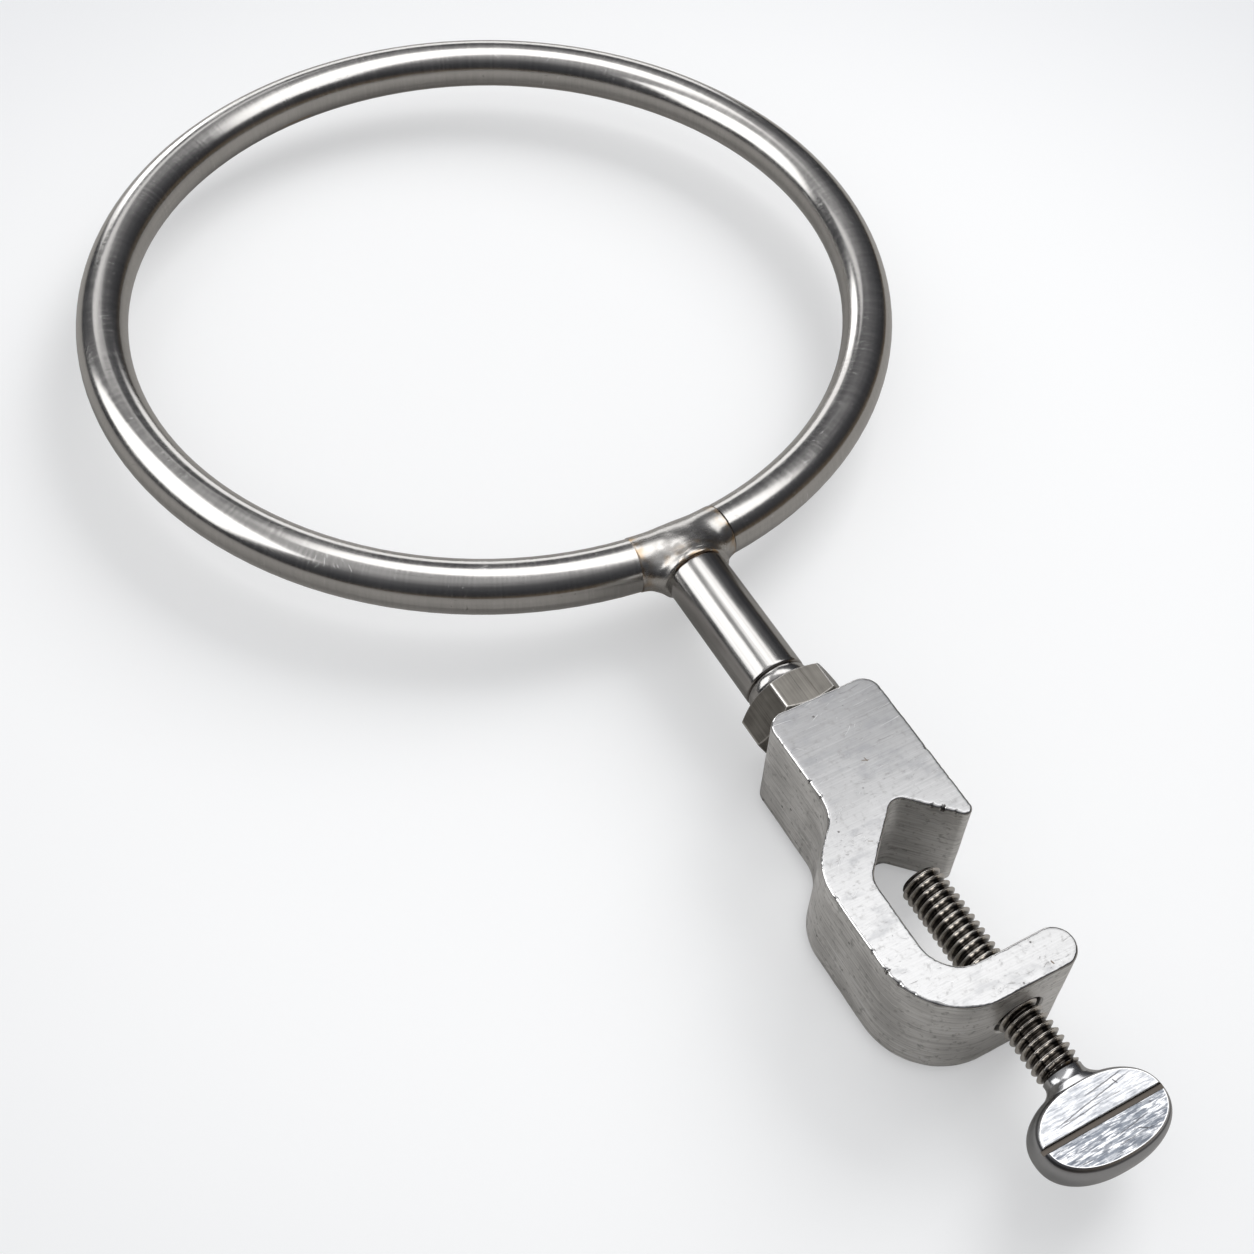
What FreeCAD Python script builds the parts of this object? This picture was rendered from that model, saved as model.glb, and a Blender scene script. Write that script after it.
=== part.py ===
"""Support ring with a rod clamp, for a laboratory stand. Millimetres.

The ring lies in the XY plane with its centre at the origin, and the stem runs along +X
from the ring to the clamp. The stand's upright rod would pass through the clamp's jaw
along Z, and the thumb screw pushes it into the V from the +X side.
"""

import FreeCAD, Part

import math
import os

Vector = FreeCAD.Vector
X_AXIS = Vector(1, 0, 0)
Y_AXIS = Vector(0, 1, 0)
Z_AXIS = Vector(0, 0, 1)
ORIGIN = Vector(0, 0, 0)

# ---- driving dimensions -------------------------------------------------------------

# ring: a round bar bent to a circle
RING_INNER_D = 150.0
RING_BAR_D = 10.4

# tee: the welded junction between the ring's two ends and the stem
TEE_RUN_STEP = 0.15        # how far the run stands out from the ring's bar
TEE_HALF_ARC = 9.5         # along the bar, from the stem's axis to each ring end
TEE_NECK_STEP = 0.1        # how far the branch lies inside the run's width
TEE_SADDLE_R = 4.5         # fillet between run and branch
TEE_COLLAR_STEP = 0.45     # how far the collar stands out from the stem
TEE_COLLAR_LENGTH = 2.2
TEE_COLLAR_SLOPE = 2.6     # length of the collar's cone towards the ring
TEE_REACH = 6.8            # from the bar's centre line to the collar's weld face

# stem: turned bar with a threaded end
STEM_D = 12.0
STEM_LENGTH = 31.8         # from the collar's weld face to the lock nut
STEM_SHOULDER_LENGTH = 2.6 # rounded band and short neck against the nut
STEM_NECK_D = 11.0
STEM_NECK_LENGTH = 0.9
STEM_GROOVE_WIDTH = 0.7
STEM_GROOVE_DEPTH = 0.45
STEM_THREAD_D = 10.0       # M10
STEM_THREAD_IN_CLAMP = 12.0
STEM_END_CHAMFER = 1.0
WELD_EDGE = 0.3            # bevel at each welded edge

# lock nut, M10
NUT_ACROSS_FLATS = 17.0
NUT_THICKNESS = 8.0        # washer face included
NUT_WASHER_FACE = 0.8
NUT_WASHER_D = 15.8
NUT_CHAMFER_ANGLE = 30.0
NUT_CHAMFER_SHARE = 0.97   # chamfer circle on the end face, of the width across flats

# clamp body: one outline, as thick as it is long in Z
BLOCK_WIDTH = 21.5         # Y, across the stem's axis
CLAMP_THICKNESS = 21.5     # Z
JAW_DEPTH = 22.8           # from the block's end face to the point of the V
JAW_HALF_ANGLE = 45.0
JAW_ROOT_R = 2.4
JAW_TIP_R = 1.4
SLANT_THICKNESS = 9.0      # the wall that carries the V's lower face
SPINE_INNER_Y = -11.5
SPINE_THICKNESS = 7.4
THROAT = 31.4              # from the point of the V to the arm
ARM_THICKNESS = 7.2
ARM_TIP_Y = 10.7
HEEL_INNER_R = 6.5
BLOCK_CORNER_R = 3.2
SPINE_BEND_INNER_R = 5.0
SPINE_BEND_OUTER_R = 12.0
BLOCK_BEND_R = 8.0
EDGE_BREAK = 0.35
STEM_HOLE_EXTRA = 2.0      # drilled past the thread's end
DRILL_POINT_ANGLE = 118.0
HOLE_COUNTERSINK = 0.65    # 45 degrees, at both ends of the screw's hole
THREAD_CLEARANCE = 0.05    # radial, between any screw thread and its hole

# clamp screw, 5/16 in
SCREW_D = 7.8              # over the crests of the rolled thread
SCREW_TIP_TO_V = 10.8      # at rest, from the point of the V to the screw's flat tip
SCREW_LENGTH = 39.0        # thread, from tip to the head's neck
SCREW_TIP_CHAMFER = 0.8
SCREW_SPIGOT_D = 5.0
SCREW_SPIGOT_LENGTH = 7.5

# thumb head: an oval grip with its flat faces up and down
HEAD_LENGTH = 24.2         # Y
HEAD_WIDTH = 15.0          # X
HEAD_THICKNESS = 6.6       # Z
HEAD_FACE_INSET = 1.05     # from the widest outline in to the flat face
HEAD_FACE_EDGE = 0.2       # bevel round the flat face
HEAD_GAP = 0.1             # between the thread's end and the neck
SPIGOT_CLEARANCE = 0.05    # radial
SPIGOT_END_GAP = 0.3
NECK_LENGTH = 1.9          # from the thread to the oval's nearest point
NECK_FLARE_WIDTH = 9.0     # Y, where the neck meets the oval
NECK_ROOT_DEPTH = 1.5      # how far the flare runs on into the oval
HEAD_SLOT_WIDTH = 1.15
HEAD_SLOT_DEPTH = 0.9
# the swell of the grip's side wall: (share of half the thickness, share of the inset)
HEAD_SIDE_PROFILE = [(-1.0, 1.0), (-0.78, 0.42), (-0.4, 0.08), (0.0, 0.0),
                     (0.4, 0.08), (0.78, 0.42), (1.0, 1.0)]
NECK_STATIONS = 5          # sections along the neck, evenly spaced

# how the shapes are made
OVERRUN = 1.0              # how far a cutting shape runs on past what it cuts
SHORTEST_FLAT = 0.02       # left between two rounds that would otherwise meet
LENGTH_TOLERANCE = 1e-3

# ---- places that follow from them ---------------------------------------------------

ring_r = (RING_INNER_D + RING_BAR_D) / 2
tee_run_d = RING_BAR_D + 2 * TEE_RUN_STEP
tee_neck_d = tee_run_d - 2 * TEE_NECK_STEP
tee_collar_d = STEM_D + 2 * TEE_COLLAR_STEP
tee_half_angle = math.degrees(TEE_HALF_ARC / ring_r)
weld_x = ring_r + TEE_REACH
nut_x = weld_x + STEM_LENGTH
end_x = nut_x + NUT_THICKNESS
jaw_x = end_x + JAW_DEPTH
arm_x = jaw_x + THROAT
arm_out_x = arm_x + ARM_THICKNESS
tip_x = jaw_x + SCREW_TIP_TO_V
thread_end_x = tip_x + SCREW_LENGTH
thread_end_d = SCREW_D - 2 * SCREW_TIP_CHAMFER
neck_x = thread_end_x + HEAD_GAP
head_x = neck_x + NECK_LENGTH + HEAD_WIDTH / 2


# ---- helpers ------------------------------------------------------------------------

def polyline(points):
    """Straight edges through the points, in order."""
    return [Part.LineSegment(a, b).toShape() for a, b in zip(points, points[1:])]


def revolved(profile):
    """Solid of revolution about X. The profile is (x, radius) pairs from end to end, and
    an end that isn't on the axis is closed by a flat disc."""
    points = [Vector(x, 0, r) for x, r in profile]
    for x, r in (profile[-1], profile[0]):
        if r > 0:
            points.append(Vector(x, 0, 0))
    wire = Part.Wire(polyline(points + points[:1]))
    return Part.Face(wire).revolve(ORIGIN, X_AXIS, 360)


def rod(x_from, x_to, diameter):
    """Plain cylinder along X."""
    return Part.makeCylinder(diameter / 2, x_to - x_from, Vector(x_from, 0, 0), X_AXIS)


def bar_section(angle_deg, diameter):
    """Circle across the ring's centre line, at an angle from +X."""
    a = math.radians(angle_deg)
    centre = Vector(ring_r * math.cos(a), ring_r * math.sin(a), 0)
    along = Vector(-math.sin(a), math.cos(a), 0)
    return Part.Wire([Part.Circle(centre, along, diameter / 2).toShape()])


def bent_bar(from_deg, to_deg, diameter):
    """Round bar that follows the ring between two angles."""
    face = Part.Face(bar_section(from_deg, diameter))
    return face.revolve(ORIGIN, Z_AXIS, to_deg - from_deg)


def rounded_wire(corners):
    """Closed outline in the XY plane. Each corner is (x, y, radius of its round)."""
    starts, arcs = [], []
    count = len(corners)
    for i, (x, y, r) in enumerate(corners):
        here = Vector(x, y, 0)
        back = (Vector(*corners[i - 1][:2], 0) - here).normalize()
        ahead = (Vector(*corners[(i + 1) % count][:2], 0) - here).normalize()
        half = back.getAngle(ahead) / 2
        trim = r / math.tan(half)
        centre = here + (back + ahead).normalize() * (r / math.sin(half))
        middle = centre + (here - centre).normalize() * r
        starts.append(here + back * trim)
        arcs.append(Part.Arc(here + back * trim, middle, here + ahead * trim))
    edges = []
    for i, arc in enumerate(arcs):
        edges.append(arc.toShape())
        following = starts[(i + 1) % count]
        edges.append(Part.LineSegment(arc.EndPoint, following).toShape())
    return Part.Wire(edges)


def oval_xy(centre_x, z, half_x, half_y):
    """Ellipse in a horizontal plane, its long axis along Y."""
    centre = Vector(centre_x, 0, z)
    ellipse = Part.Ellipse(centre + Y_AXIS * half_y, centre - X_AXIS * half_x, centre)
    return Part.Wire([ellipse.toShape()])


def oval_yz(x, half_y, half_z):
    """Ellipse across the screw's axis, its long axis along Y and never quite round,
    so that every section starts at the same side and a loft through them has no twist."""
    centre = Vector(x, 0, 0)
    half_y = max(half_y, half_z * 1.001)
    ellipse = Part.Ellipse(centre + Y_AXIS * half_y, centre + Z_AXIS * half_z, centre)
    return Part.Wire([ellipse.toShape()])


# ---- pieces -------------------------------------------------------------------------

def support_ring():
    """The bent bar, open where the tee closes it."""
    return bent_bar(tee_half_angle, 360 - tee_half_angle, RING_BAR_D)


def weld_tee():
    """Curved run in line with the ring, and a saddled branch that ends in a collar."""
    run = bent_bar(-tee_half_angle, tee_half_angle, tee_run_d)
    around = math.pi * tee_run_d
    ends = [e for e in run.Edges if abs(e.Length - around) < LENGTH_TOLERANCE]
    run = run.makeChamfer(TEE_RUN_STEP, ends)
    body = run.fuse(rod(ring_r, weld_x, tee_neck_d))
    saddle = [
        e for e in body.Edges
        if type(e.Curve).__name__ == "BSplineCurve" and e.BoundBox.XMin > ring_r
    ]
    body = body.makeFillet(TEE_SADDLE_R, saddle)
    back_x = weld_x - TEE_COLLAR_LENGTH
    collar = revolved([
        (back_x - TEE_COLLAR_SLOPE, tee_neck_d / 2 - WELD_EDGE),
        (back_x, tee_collar_d / 2 - WELD_EDGE),
        (back_x + WELD_EDGE, tee_collar_d / 2),
        (weld_x - WELD_EDGE, tee_collar_d / 2),
        (weld_x, tee_collar_d / 2 - WELD_EDGE),
    ])
    return body.fuse(collar)


def stem_rod():
    """Plain stem with a groove and a rounded band at the nut, then its threaded end."""
    groove_x = nut_x - STEM_NECK_LENGTH - STEM_SHOULDER_LENGTH
    shoulder_x = nut_x - STEM_NECK_LENGTH
    r = STEM_D / 2
    half = STEM_GROOVE_WIDTH / 2
    end = end_x + STEM_THREAD_IN_CLAMP
    return revolved([
        (weld_x, r - WELD_EDGE),
        (weld_x + WELD_EDGE, r),
        (groove_x - half, r),
        (groove_x, r - STEM_GROOVE_DEPTH),
        (groove_x + half, r - WELD_EDGE / 2),
        (groove_x + 2 * half, r),
        (shoulder_x - WELD_EDGE, r),
        (shoulder_x, r - WELD_EDGE),
        (shoulder_x, STEM_NECK_D / 2),
        (nut_x, STEM_NECK_D / 2),
        (nut_x, STEM_THREAD_D / 2),
        (end - STEM_END_CHAMFER, STEM_THREAD_D / 2),
        (end, STEM_THREAD_D / 2 - STEM_END_CHAMFER),
    ])


def lock_nut():
    """Hexagon nut, flat upward, chamfered at both ends, with a washer face."""
    flat_r = NUT_ACROSS_FLATS / 2
    corner_r = flat_r / math.cos(math.radians(30))
    corners = [
        Vector(nut_x, corner_r * math.cos(math.radians(60 * i)),
               corner_r * math.sin(math.radians(60 * i)))
        for i in range(7)
    ]
    length = NUT_THICKNESS - NUT_WASHER_FACE
    prism = Part.Face(Part.Wire(polyline(corners))).extrude(X_AXIS * length)
    circle_r = flat_r * NUT_CHAMFER_SHARE
    outer_r = corner_r + OVERRUN
    rise = (outer_r - circle_r) * math.tan(math.radians(NUT_CHAMFER_ANGLE))
    envelope = revolved([
        (nut_x, circle_r),
        (nut_x + rise, outer_r),
        (nut_x + length - rise, outer_r),
        (nut_x + length, circle_r),
    ])
    washer = rod(nut_x + length, end_x, NUT_WASHER_D)
    bore = rod(nut_x, end_x, STEM_THREAD_D + 2 * THREAD_CLEARANCE)
    return prism.common(envelope).fuse(washer).cut(bore)


def clamp_outline():
    """The C of the clamp in the XY plane: block, V jaw, spine and arm."""
    half = BLOCK_WIDTH / 2
    slope = math.tan(math.radians(JAW_HALF_ANGLE))
    spine_outer_y = SPINE_INNER_Y - SPINE_THICKNESS
    wall_dx = SLANT_THICKNESS / math.sin(math.radians(JAW_HALF_ANGLE))

    def slant_x(y):
        """Where the V's lower face, or its line run on, is at this y."""
        return jaw_x - y / slope

    arm_round = (ARM_THICKNESS - SHORTEST_FLAT) / 2
    return rounded_wire([
        (end_x, half, BLOCK_CORNER_R),
        (end_x, -half, BLOCK_CORNER_R),
        (slant_x(-half) - wall_dx, -half, BLOCK_BEND_R),
        (slant_x(spine_outer_y) - wall_dx, spine_outer_y, SPINE_BEND_OUTER_R),
        (arm_out_x, spine_outer_y, HEEL_INNER_R + ARM_THICKNESS),
        (arm_out_x, ARM_TIP_Y, arm_round),
        (arm_x, ARM_TIP_Y, arm_round),
        (arm_x, SPINE_INNER_Y, HEEL_INNER_R),
        (slant_x(SPINE_INNER_Y), SPINE_INNER_Y, SPINE_BEND_INNER_R),
        (jaw_x, 0, JAW_ROOT_R),
        (jaw_x + half / slope, half, JAW_TIP_R),
    ])


def clamp_body():
    """The outline drawn up in Z, edges broken, with the stem's and the screw's holes."""
    face = Part.Face(clamp_outline())
    body = face.extrude(Z_AXIS * CLAMP_THICKNESS)
    body.translate(Z_AXIS * (-CLAMP_THICKNESS / 2))
    rims = [e for e in body.Edges if e.BoundBox.ZLength < LENGTH_TOLERANCE]
    body = body.makeChamfer(EDGE_BREAK, rims)

    stem_r = STEM_THREAD_D / 2 + THREAD_CLEARANCE
    bottom_x = end_x + STEM_THREAD_IN_CLAMP + STEM_HOLE_EXTRA
    point = stem_r / math.tan(math.radians(DRILL_POINT_ANGLE / 2))
    stem_hole = revolved([(end_x - OVERRUN, stem_r), (bottom_x, stem_r), (bottom_x + point, 0)])

    screw_r = SCREW_D / 2 + THREAD_CLEARANCE
    mouth_r = screw_r + HOLE_COUNTERSINK
    screw_hole = revolved([
        (arm_x - OVERRUN, mouth_r + OVERRUN),
        (arm_x + HOLE_COUNTERSINK, screw_r),
        (arm_out_x - HOLE_COUNTERSINK, screw_r),
        (arm_out_x + OVERRUN, mouth_r + OVERRUN),
    ])
    return body.cut(stem_hole).cut(screw_hole)


def clamp_screw():
    """Threaded rod, drawn at its outside diameter, with a spigot that carries the head."""
    r = SCREW_D / 2
    return revolved([
        (tip_x, thread_end_d / 2),
        (tip_x + SCREW_TIP_CHAMFER, r),
        (thread_end_x - SCREW_TIP_CHAMFER, r),
        (thread_end_x, thread_end_d / 2),
        (thread_end_x, SCREW_SPIGOT_D / 2),
        (thread_end_x + SCREW_SPIGOT_LENGTH, SCREW_SPIGOT_D / 2),
    ])


def head_oval():
    """The grip: flat top and bottom faces, and a side wall that swells between them."""
    sections = [
        oval_xy(head_x, HEAD_THICKNESS / 2 * share,
                HEAD_WIDTH / 2 - HEAD_FACE_INSET * inset,
                HEAD_LENGTH / 2 - HEAD_FACE_INSET * inset)
        for share, inset in HEAD_SIDE_PROFILE
    ]
    oval = Part.makeLoft(sections, True, False)
    rims = [e for e in oval.Edges if e.BoundBox.ZLength < LENGTH_TOLERANCE]
    return oval.makeChamfer(HEAD_FACE_EDGE, rims)


def head_neck():
    """The neck, round at the thread and widening into the side of the oval."""
    start, flare = thread_end_d / 2, NECK_FLARE_WIDTH / 2
    height = HEAD_THICKNESS / 2 - HEAD_FACE_EDGE
    shares = [i / (NECK_STATIONS - 1) for i in range(NECK_STATIONS)]
    sections = [
        oval_yz(neck_x + NECK_LENGTH * share, start + (flare - start) * share ** 2,
                start + (height - start) * share)
        for share in shares
    ]
    slope = 2 * (flare - start) / NECK_LENGTH
    root = oval_yz(neck_x + NECK_LENGTH + NECK_ROOT_DEPTH,
                   flare + slope * NECK_ROOT_DEPTH, height)
    return Part.makeLoft(sections + [root], True, False)


def thumb_head():
    """Oval grip and neck in one casting, slotted on top, with a socket for the spigot."""
    top = HEAD_THICKNESS / 2
    slot = Part.makeBox(
        HEAD_SLOT_WIDTH, HEAD_LENGTH + 2 * OVERRUN, HEAD_SLOT_DEPTH + OVERRUN,
        Vector(head_x - HEAD_SLOT_WIDTH / 2, -HEAD_LENGTH / 2 - OVERRUN,
               top - HEAD_SLOT_DEPTH),
    )
    socket_end = thread_end_x + SCREW_SPIGOT_LENGTH + SPIGOT_END_GAP
    socket = rod(neck_x - OVERRUN, socket_end, SCREW_SPIGOT_D + 2 * SPIGOT_CLEARANCE)
    return head_oval().fuse(head_neck()).cut(slot).cut(socket)


PIECES = [support_ring, weld_tee, stem_rod, lock_nut, clamp_body, clamp_screw, thumb_head]


def main():
    os.makedirs("parts", exist_ok=True)
    for piece in PIECES:
        shape = piece()
        if len(shape.Solids) == 1:
            shape = shape.Solids[0]
        shape.exportStep("parts/" + piece.__name__ + ".step")
        box = shape.optimalBoundingBox(False)
        print(f"{piece.__name__}: valid {shape.isValid()}, {len(shape.Solids)} solid, "
              f"{shape.Volume / 1000:.3f} cm3, X {box.XMin:.2f} to {box.XMax:.2f}, "
              f"Y {box.YMin:.2f} to {box.YMax:.2f}, Z {box.ZMin:.2f} to {box.ZMax:.2f}")


main()
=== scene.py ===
"""A steel support ring with its rod clamp, dressed on a pale studio floor.

Meshes are in metres and in the part's own frame: the ring lies in the XY plane round
the origin, the stem runs along +X to the clamp, and +Z is up, along the stand's rod.
Each class says whether its sizes are in metres or in millimetres, and patterns on the
metal are in millimetres throughout.
"""

import logging
import math
from dataclasses import dataclass, field
from enum import Enum
from typing import Any, Optional, Sequence

import bpy
import numpy as np
from mathutils import Euler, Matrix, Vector


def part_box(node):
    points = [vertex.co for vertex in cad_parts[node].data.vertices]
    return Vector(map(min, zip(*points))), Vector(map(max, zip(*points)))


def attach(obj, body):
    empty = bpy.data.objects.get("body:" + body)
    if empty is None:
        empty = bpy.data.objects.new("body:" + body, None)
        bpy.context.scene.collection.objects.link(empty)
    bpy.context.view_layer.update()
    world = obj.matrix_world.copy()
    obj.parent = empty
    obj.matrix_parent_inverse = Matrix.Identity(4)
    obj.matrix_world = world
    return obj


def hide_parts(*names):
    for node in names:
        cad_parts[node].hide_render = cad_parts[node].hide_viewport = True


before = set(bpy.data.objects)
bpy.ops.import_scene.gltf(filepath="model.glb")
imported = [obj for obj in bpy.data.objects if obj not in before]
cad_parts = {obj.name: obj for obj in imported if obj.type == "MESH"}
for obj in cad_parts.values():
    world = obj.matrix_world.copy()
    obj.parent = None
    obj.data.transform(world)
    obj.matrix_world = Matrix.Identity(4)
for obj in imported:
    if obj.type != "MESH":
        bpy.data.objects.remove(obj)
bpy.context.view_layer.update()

LOG = logging.getLogger("support_ring_clamp")
MM = 0.001
Socket = bpy.types.NodeSocket
Colour = tuple[float, float, float]

# soft noise: how many waves it adds, how far their lengths spread, and what brings it to 1
NOISE_WAVES = 24
NOISE_SPREAD = (0.6, 1.5)
NOISE_GAIN = 0.7

# the bright metal that a fresh scratch lays open
BARE_SCRATCH: Colour = (0.95, 0.95, 0.95)


# ---- meshes -------------------------------------------------------------------------


def smooth_noise(points: np.ndarray, wavelength: float, seed: int) -> np.ndarray:
    """Soft random field: a sum of sine waves of random direction and phase.

    Formula: the mean of sin(k . p + phase) over the waves, scaled to about -1 to 1,
    where each k has a length near 2 pi over the wavelength.

    Args:
        points: positions in metres, with the coordinates in the last axis.
        wavelength: the usual distance between two crests, in metres.
        seed: picks one fixed field.

    Returns:
        One value per point.
    """
    rng = np.random.default_rng(seed)
    axes = points.shape[-1]
    ways = rng.normal(size=(NOISE_WAVES, axes))
    ways /= np.linalg.norm(ways, axis=1, keepdims=True)
    ways *= 2 * math.pi / wavelength * rng.uniform(*NOISE_SPREAD, size=(NOISE_WAVES, 1))
    phases = rng.uniform(0, 2 * math.pi, NOISE_WAVES)
    return np.sin(points @ ways.T + phases).mean(axis=-1) * NOISE_GAIN * math.sqrt(NOISE_WAVES)


def circle(count: int) -> np.ndarray:
    """Even angles round a full turn, as one row."""
    return np.linspace(0, 2 * math.pi, count, endpoint=False)[None, :]


def bell(value: np.ndarray, width: float) -> np.ndarray:
    """A soft bump: 1 where the value is 0, and near 0 beyond twice the width."""
    return np.exp(-(value / width) ** 2)


def clamped(value: np.ndarray) -> np.ndarray:
    """The value, held between 0 and 1."""
    return np.clip(value, 0, 1)


def grid_faces(rows: int, columns: int) -> np.ndarray:
    """Quads of a grid whose columns close on themselves.

    Formula: vertex (i, j) is number i * columns + j, and each quad joins two
    neighbours of one row to the two above them.

    Args:
        rows: how many rings there are.
        columns: how many points a ring has.

    Returns:
        Four vertex numbers for each quad.
    """
    i, j = np.meshgrid(np.arange(rows - 1), np.arange(columns), indexing="ij")
    following = (j + 1) % columns
    quads = [i * columns + j, i * columns + following,
             (i + 1) * columns + following, (i + 1) * columns + j]
    return np.stack(quads, axis=-1).reshape(-1, 4)


def signed_volume(points: np.ndarray, faces: Sequence[Sequence[int]]) -> float:
    """Volume inside the faces, negative when they point inwards.

    Formula: each face is fanned into triangles, and a sixth of the triple product of
    each triangle's corners is added up.

    Args:
        points: the vertices' places.
        faces: the vertex numbers of each face.

    Returns:
        The volume.
    """
    total = 0.0
    by_size: dict[int, list[Sequence[int]]] = {}
    for face in faces:
        by_size.setdefault(len(face), []).append(face)
    for size, group in by_size.items():
        corners = points[np.asarray(group)]
        for k in range(1, size - 1):
            cross = np.cross(corners[:, k], corners[:, k + 1])
            total += float((corners[:, 0] * cross).sum()) / 6
    return total


@dataclass(frozen=True)
class Shell:
    """One closed skin: rings of points, with a flat lid on the first and on the last ring.

    The rings are (rows, columns, 3) positions. The masks are attributes, with one value
    for each point. The skin is a map: the length along the columns, one more than there
    are, and the length along the rows.
    """

    rings: np.ndarray
    masks: dict[str, np.ndarray] = field(default_factory=dict)
    skin: Optional[tuple[np.ndarray, np.ndarray]] = None

    def faces(self) -> tuple[np.ndarray, list[list[int]], bool]:
        """The skin's faces.

        Returns:
            The quads and the two lids, all outwards, and whether they had to be turned.
        """
        rows, columns, _ = self.rings.shape
        quads = grid_faces(rows, columns)
        first = np.arange(columns)
        lids = [first[::-1].tolist(), (first + (rows - 1) * columns).tolist()]
        turned = signed_volume(self.rings.reshape(-1, 3), quads.tolist() + lids) < 0
        if turned:
            return quads[:, ::-1], [lid[::-1] for lid in lids], True
        return quads, lids, False

    def map_points(self, lids: list[list[int]], turned: bool) -> np.ndarray:
        """The skin's map, which is flat paper laid round it.

        Args:
            lids: the vertex numbers of the two lids.
            turned: whether the faces run the other way round.

        Returns:
            The map's place at each corner of each face: quads first, then the lids.
        """
        rows, columns, _ = self.rings.shape
        lid_flat = self.rings.reshape(-1, 3)[np.array(lids).ravel(), :2]
        if self.skin is None:
            return np.concatenate([np.zeros(((rows - 1) * columns * 4, 2)), lid_flat])
        i, j = np.meshgrid(np.arange(rows - 1), np.arange(columns), indexing="ij")
        across = np.stack([j, j + 1, j + 1, j], axis=-1).reshape(-1, 4)
        along = np.stack([i, i, i + 1, i + 1], axis=-1).reshape(-1, 4)
        if turned:
            across, along = across[:, ::-1], along[:, ::-1]
        flat = np.stack([self.skin[0][across], self.skin[1][along]], axis=-1).reshape(-1, 2)
        return np.concatenate([flat, lid_flat])


def skin_object(name: str, shells: Sequence[Shell],
                sharp_angle: float = 40.0) -> bpy.types.Object:
    """One object made of closed skins.

    Args:
        name: the object's name.
        shells: the skins. They may overlap, and have the same masks.
        sharp_angle: edges that turn by more than this many degrees stay crisp.

    Returns:
        The new object, at the origin, with its faces outwards.
    """
    faces: list[list[int]] = []
    places, offset = [], 0
    for shell in shells:
        quads, lids, turned = shell.faces()
        faces += (quads + offset).tolist() + (np.array(lids) + offset).tolist()
        places.append(shell.map_points(lids, turned))
        offset += shell.rings.shape[0] * shell.rings.shape[1]
    points = np.concatenate([shell.rings.reshape(-1, 3) for shell in shells])
    mesh = bpy.data.meshes.new(name)
    mesh.from_pydata(points.tolist(), [], faces)
    for key in shells[0].masks:
        values = np.concatenate([shell.masks[key].ravel() for shell in shells])
        layer = mesh.attributes.new(key, "FLOAT", "POINT")
        layer.data.foreach_set("value", values.astype(np.float32))
    layer = mesh.uv_layers.new(name="skin")
    layer.data.foreach_set("uv", np.concatenate(places).astype(np.float32).ravel())
    mesh.polygons.foreach_set("use_smooth", [True] * len(mesh.polygons))
    mesh.set_sharp_from_angle(angle=math.radians(sharp_angle))
    mesh.update()
    obj = bpy.data.objects.new(name, mesh)
    bpy.context.scene.collection.objects.link(obj)
    return obj


def revolved_rings(profile: np.ndarray, columns: int) -> np.ndarray:
    """Rings of a surface of revolution about X.

    Formula: (x, r) of the profile goes to (x, r cos a, r sin a) for a round the circle.

    Args:
        profile: pairs of x and radius.
        columns: how many points a ring has.

    Returns:
        One ring for each pair.
    """
    a = circle(columns)
    x, r = profile[:, :1], profile[:, 1:2]
    return np.stack([x + 0 * a, r * np.cos(a), r * np.sin(a)], axis=-1)


def cut(obj: bpy.types.Object, cutters: Sequence[bpy.types.Object], sharp_angle: float) -> None:
    """Takes the cutters' shapes out of an object's mesh, and removes the cutters.

    Args:
        obj: the object that keeps what is left.
        cutters: closed objects, none of them needed afterwards.
        sharp_angle: edges that turn by more than this many degrees stay crisp.
    """
    for cutter in cutters:
        modifier = obj.modifiers.new("hole", "BOOLEAN")
        modifier.operation = "DIFFERENCE"
        modifier.solver = "EXACT"
        modifier.object = cutter
    bpy.context.view_layer.update()
    graph = bpy.context.evaluated_depsgraph_get()
    mesh = bpy.data.meshes.new_from_object(obj.evaluated_get(graph), depsgraph=graph,
                                           preserve_all_data_layers=True)
    obj.modifiers.clear()
    old, obj.data = obj.data, mesh
    bpy.data.meshes.remove(old)
    mesh.name = obj.name
    mesh.set_sharp_from_angle(angle=math.radians(sharp_angle))
    for cutter in cutters:
        bpy.data.objects.remove(cutter)


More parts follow.
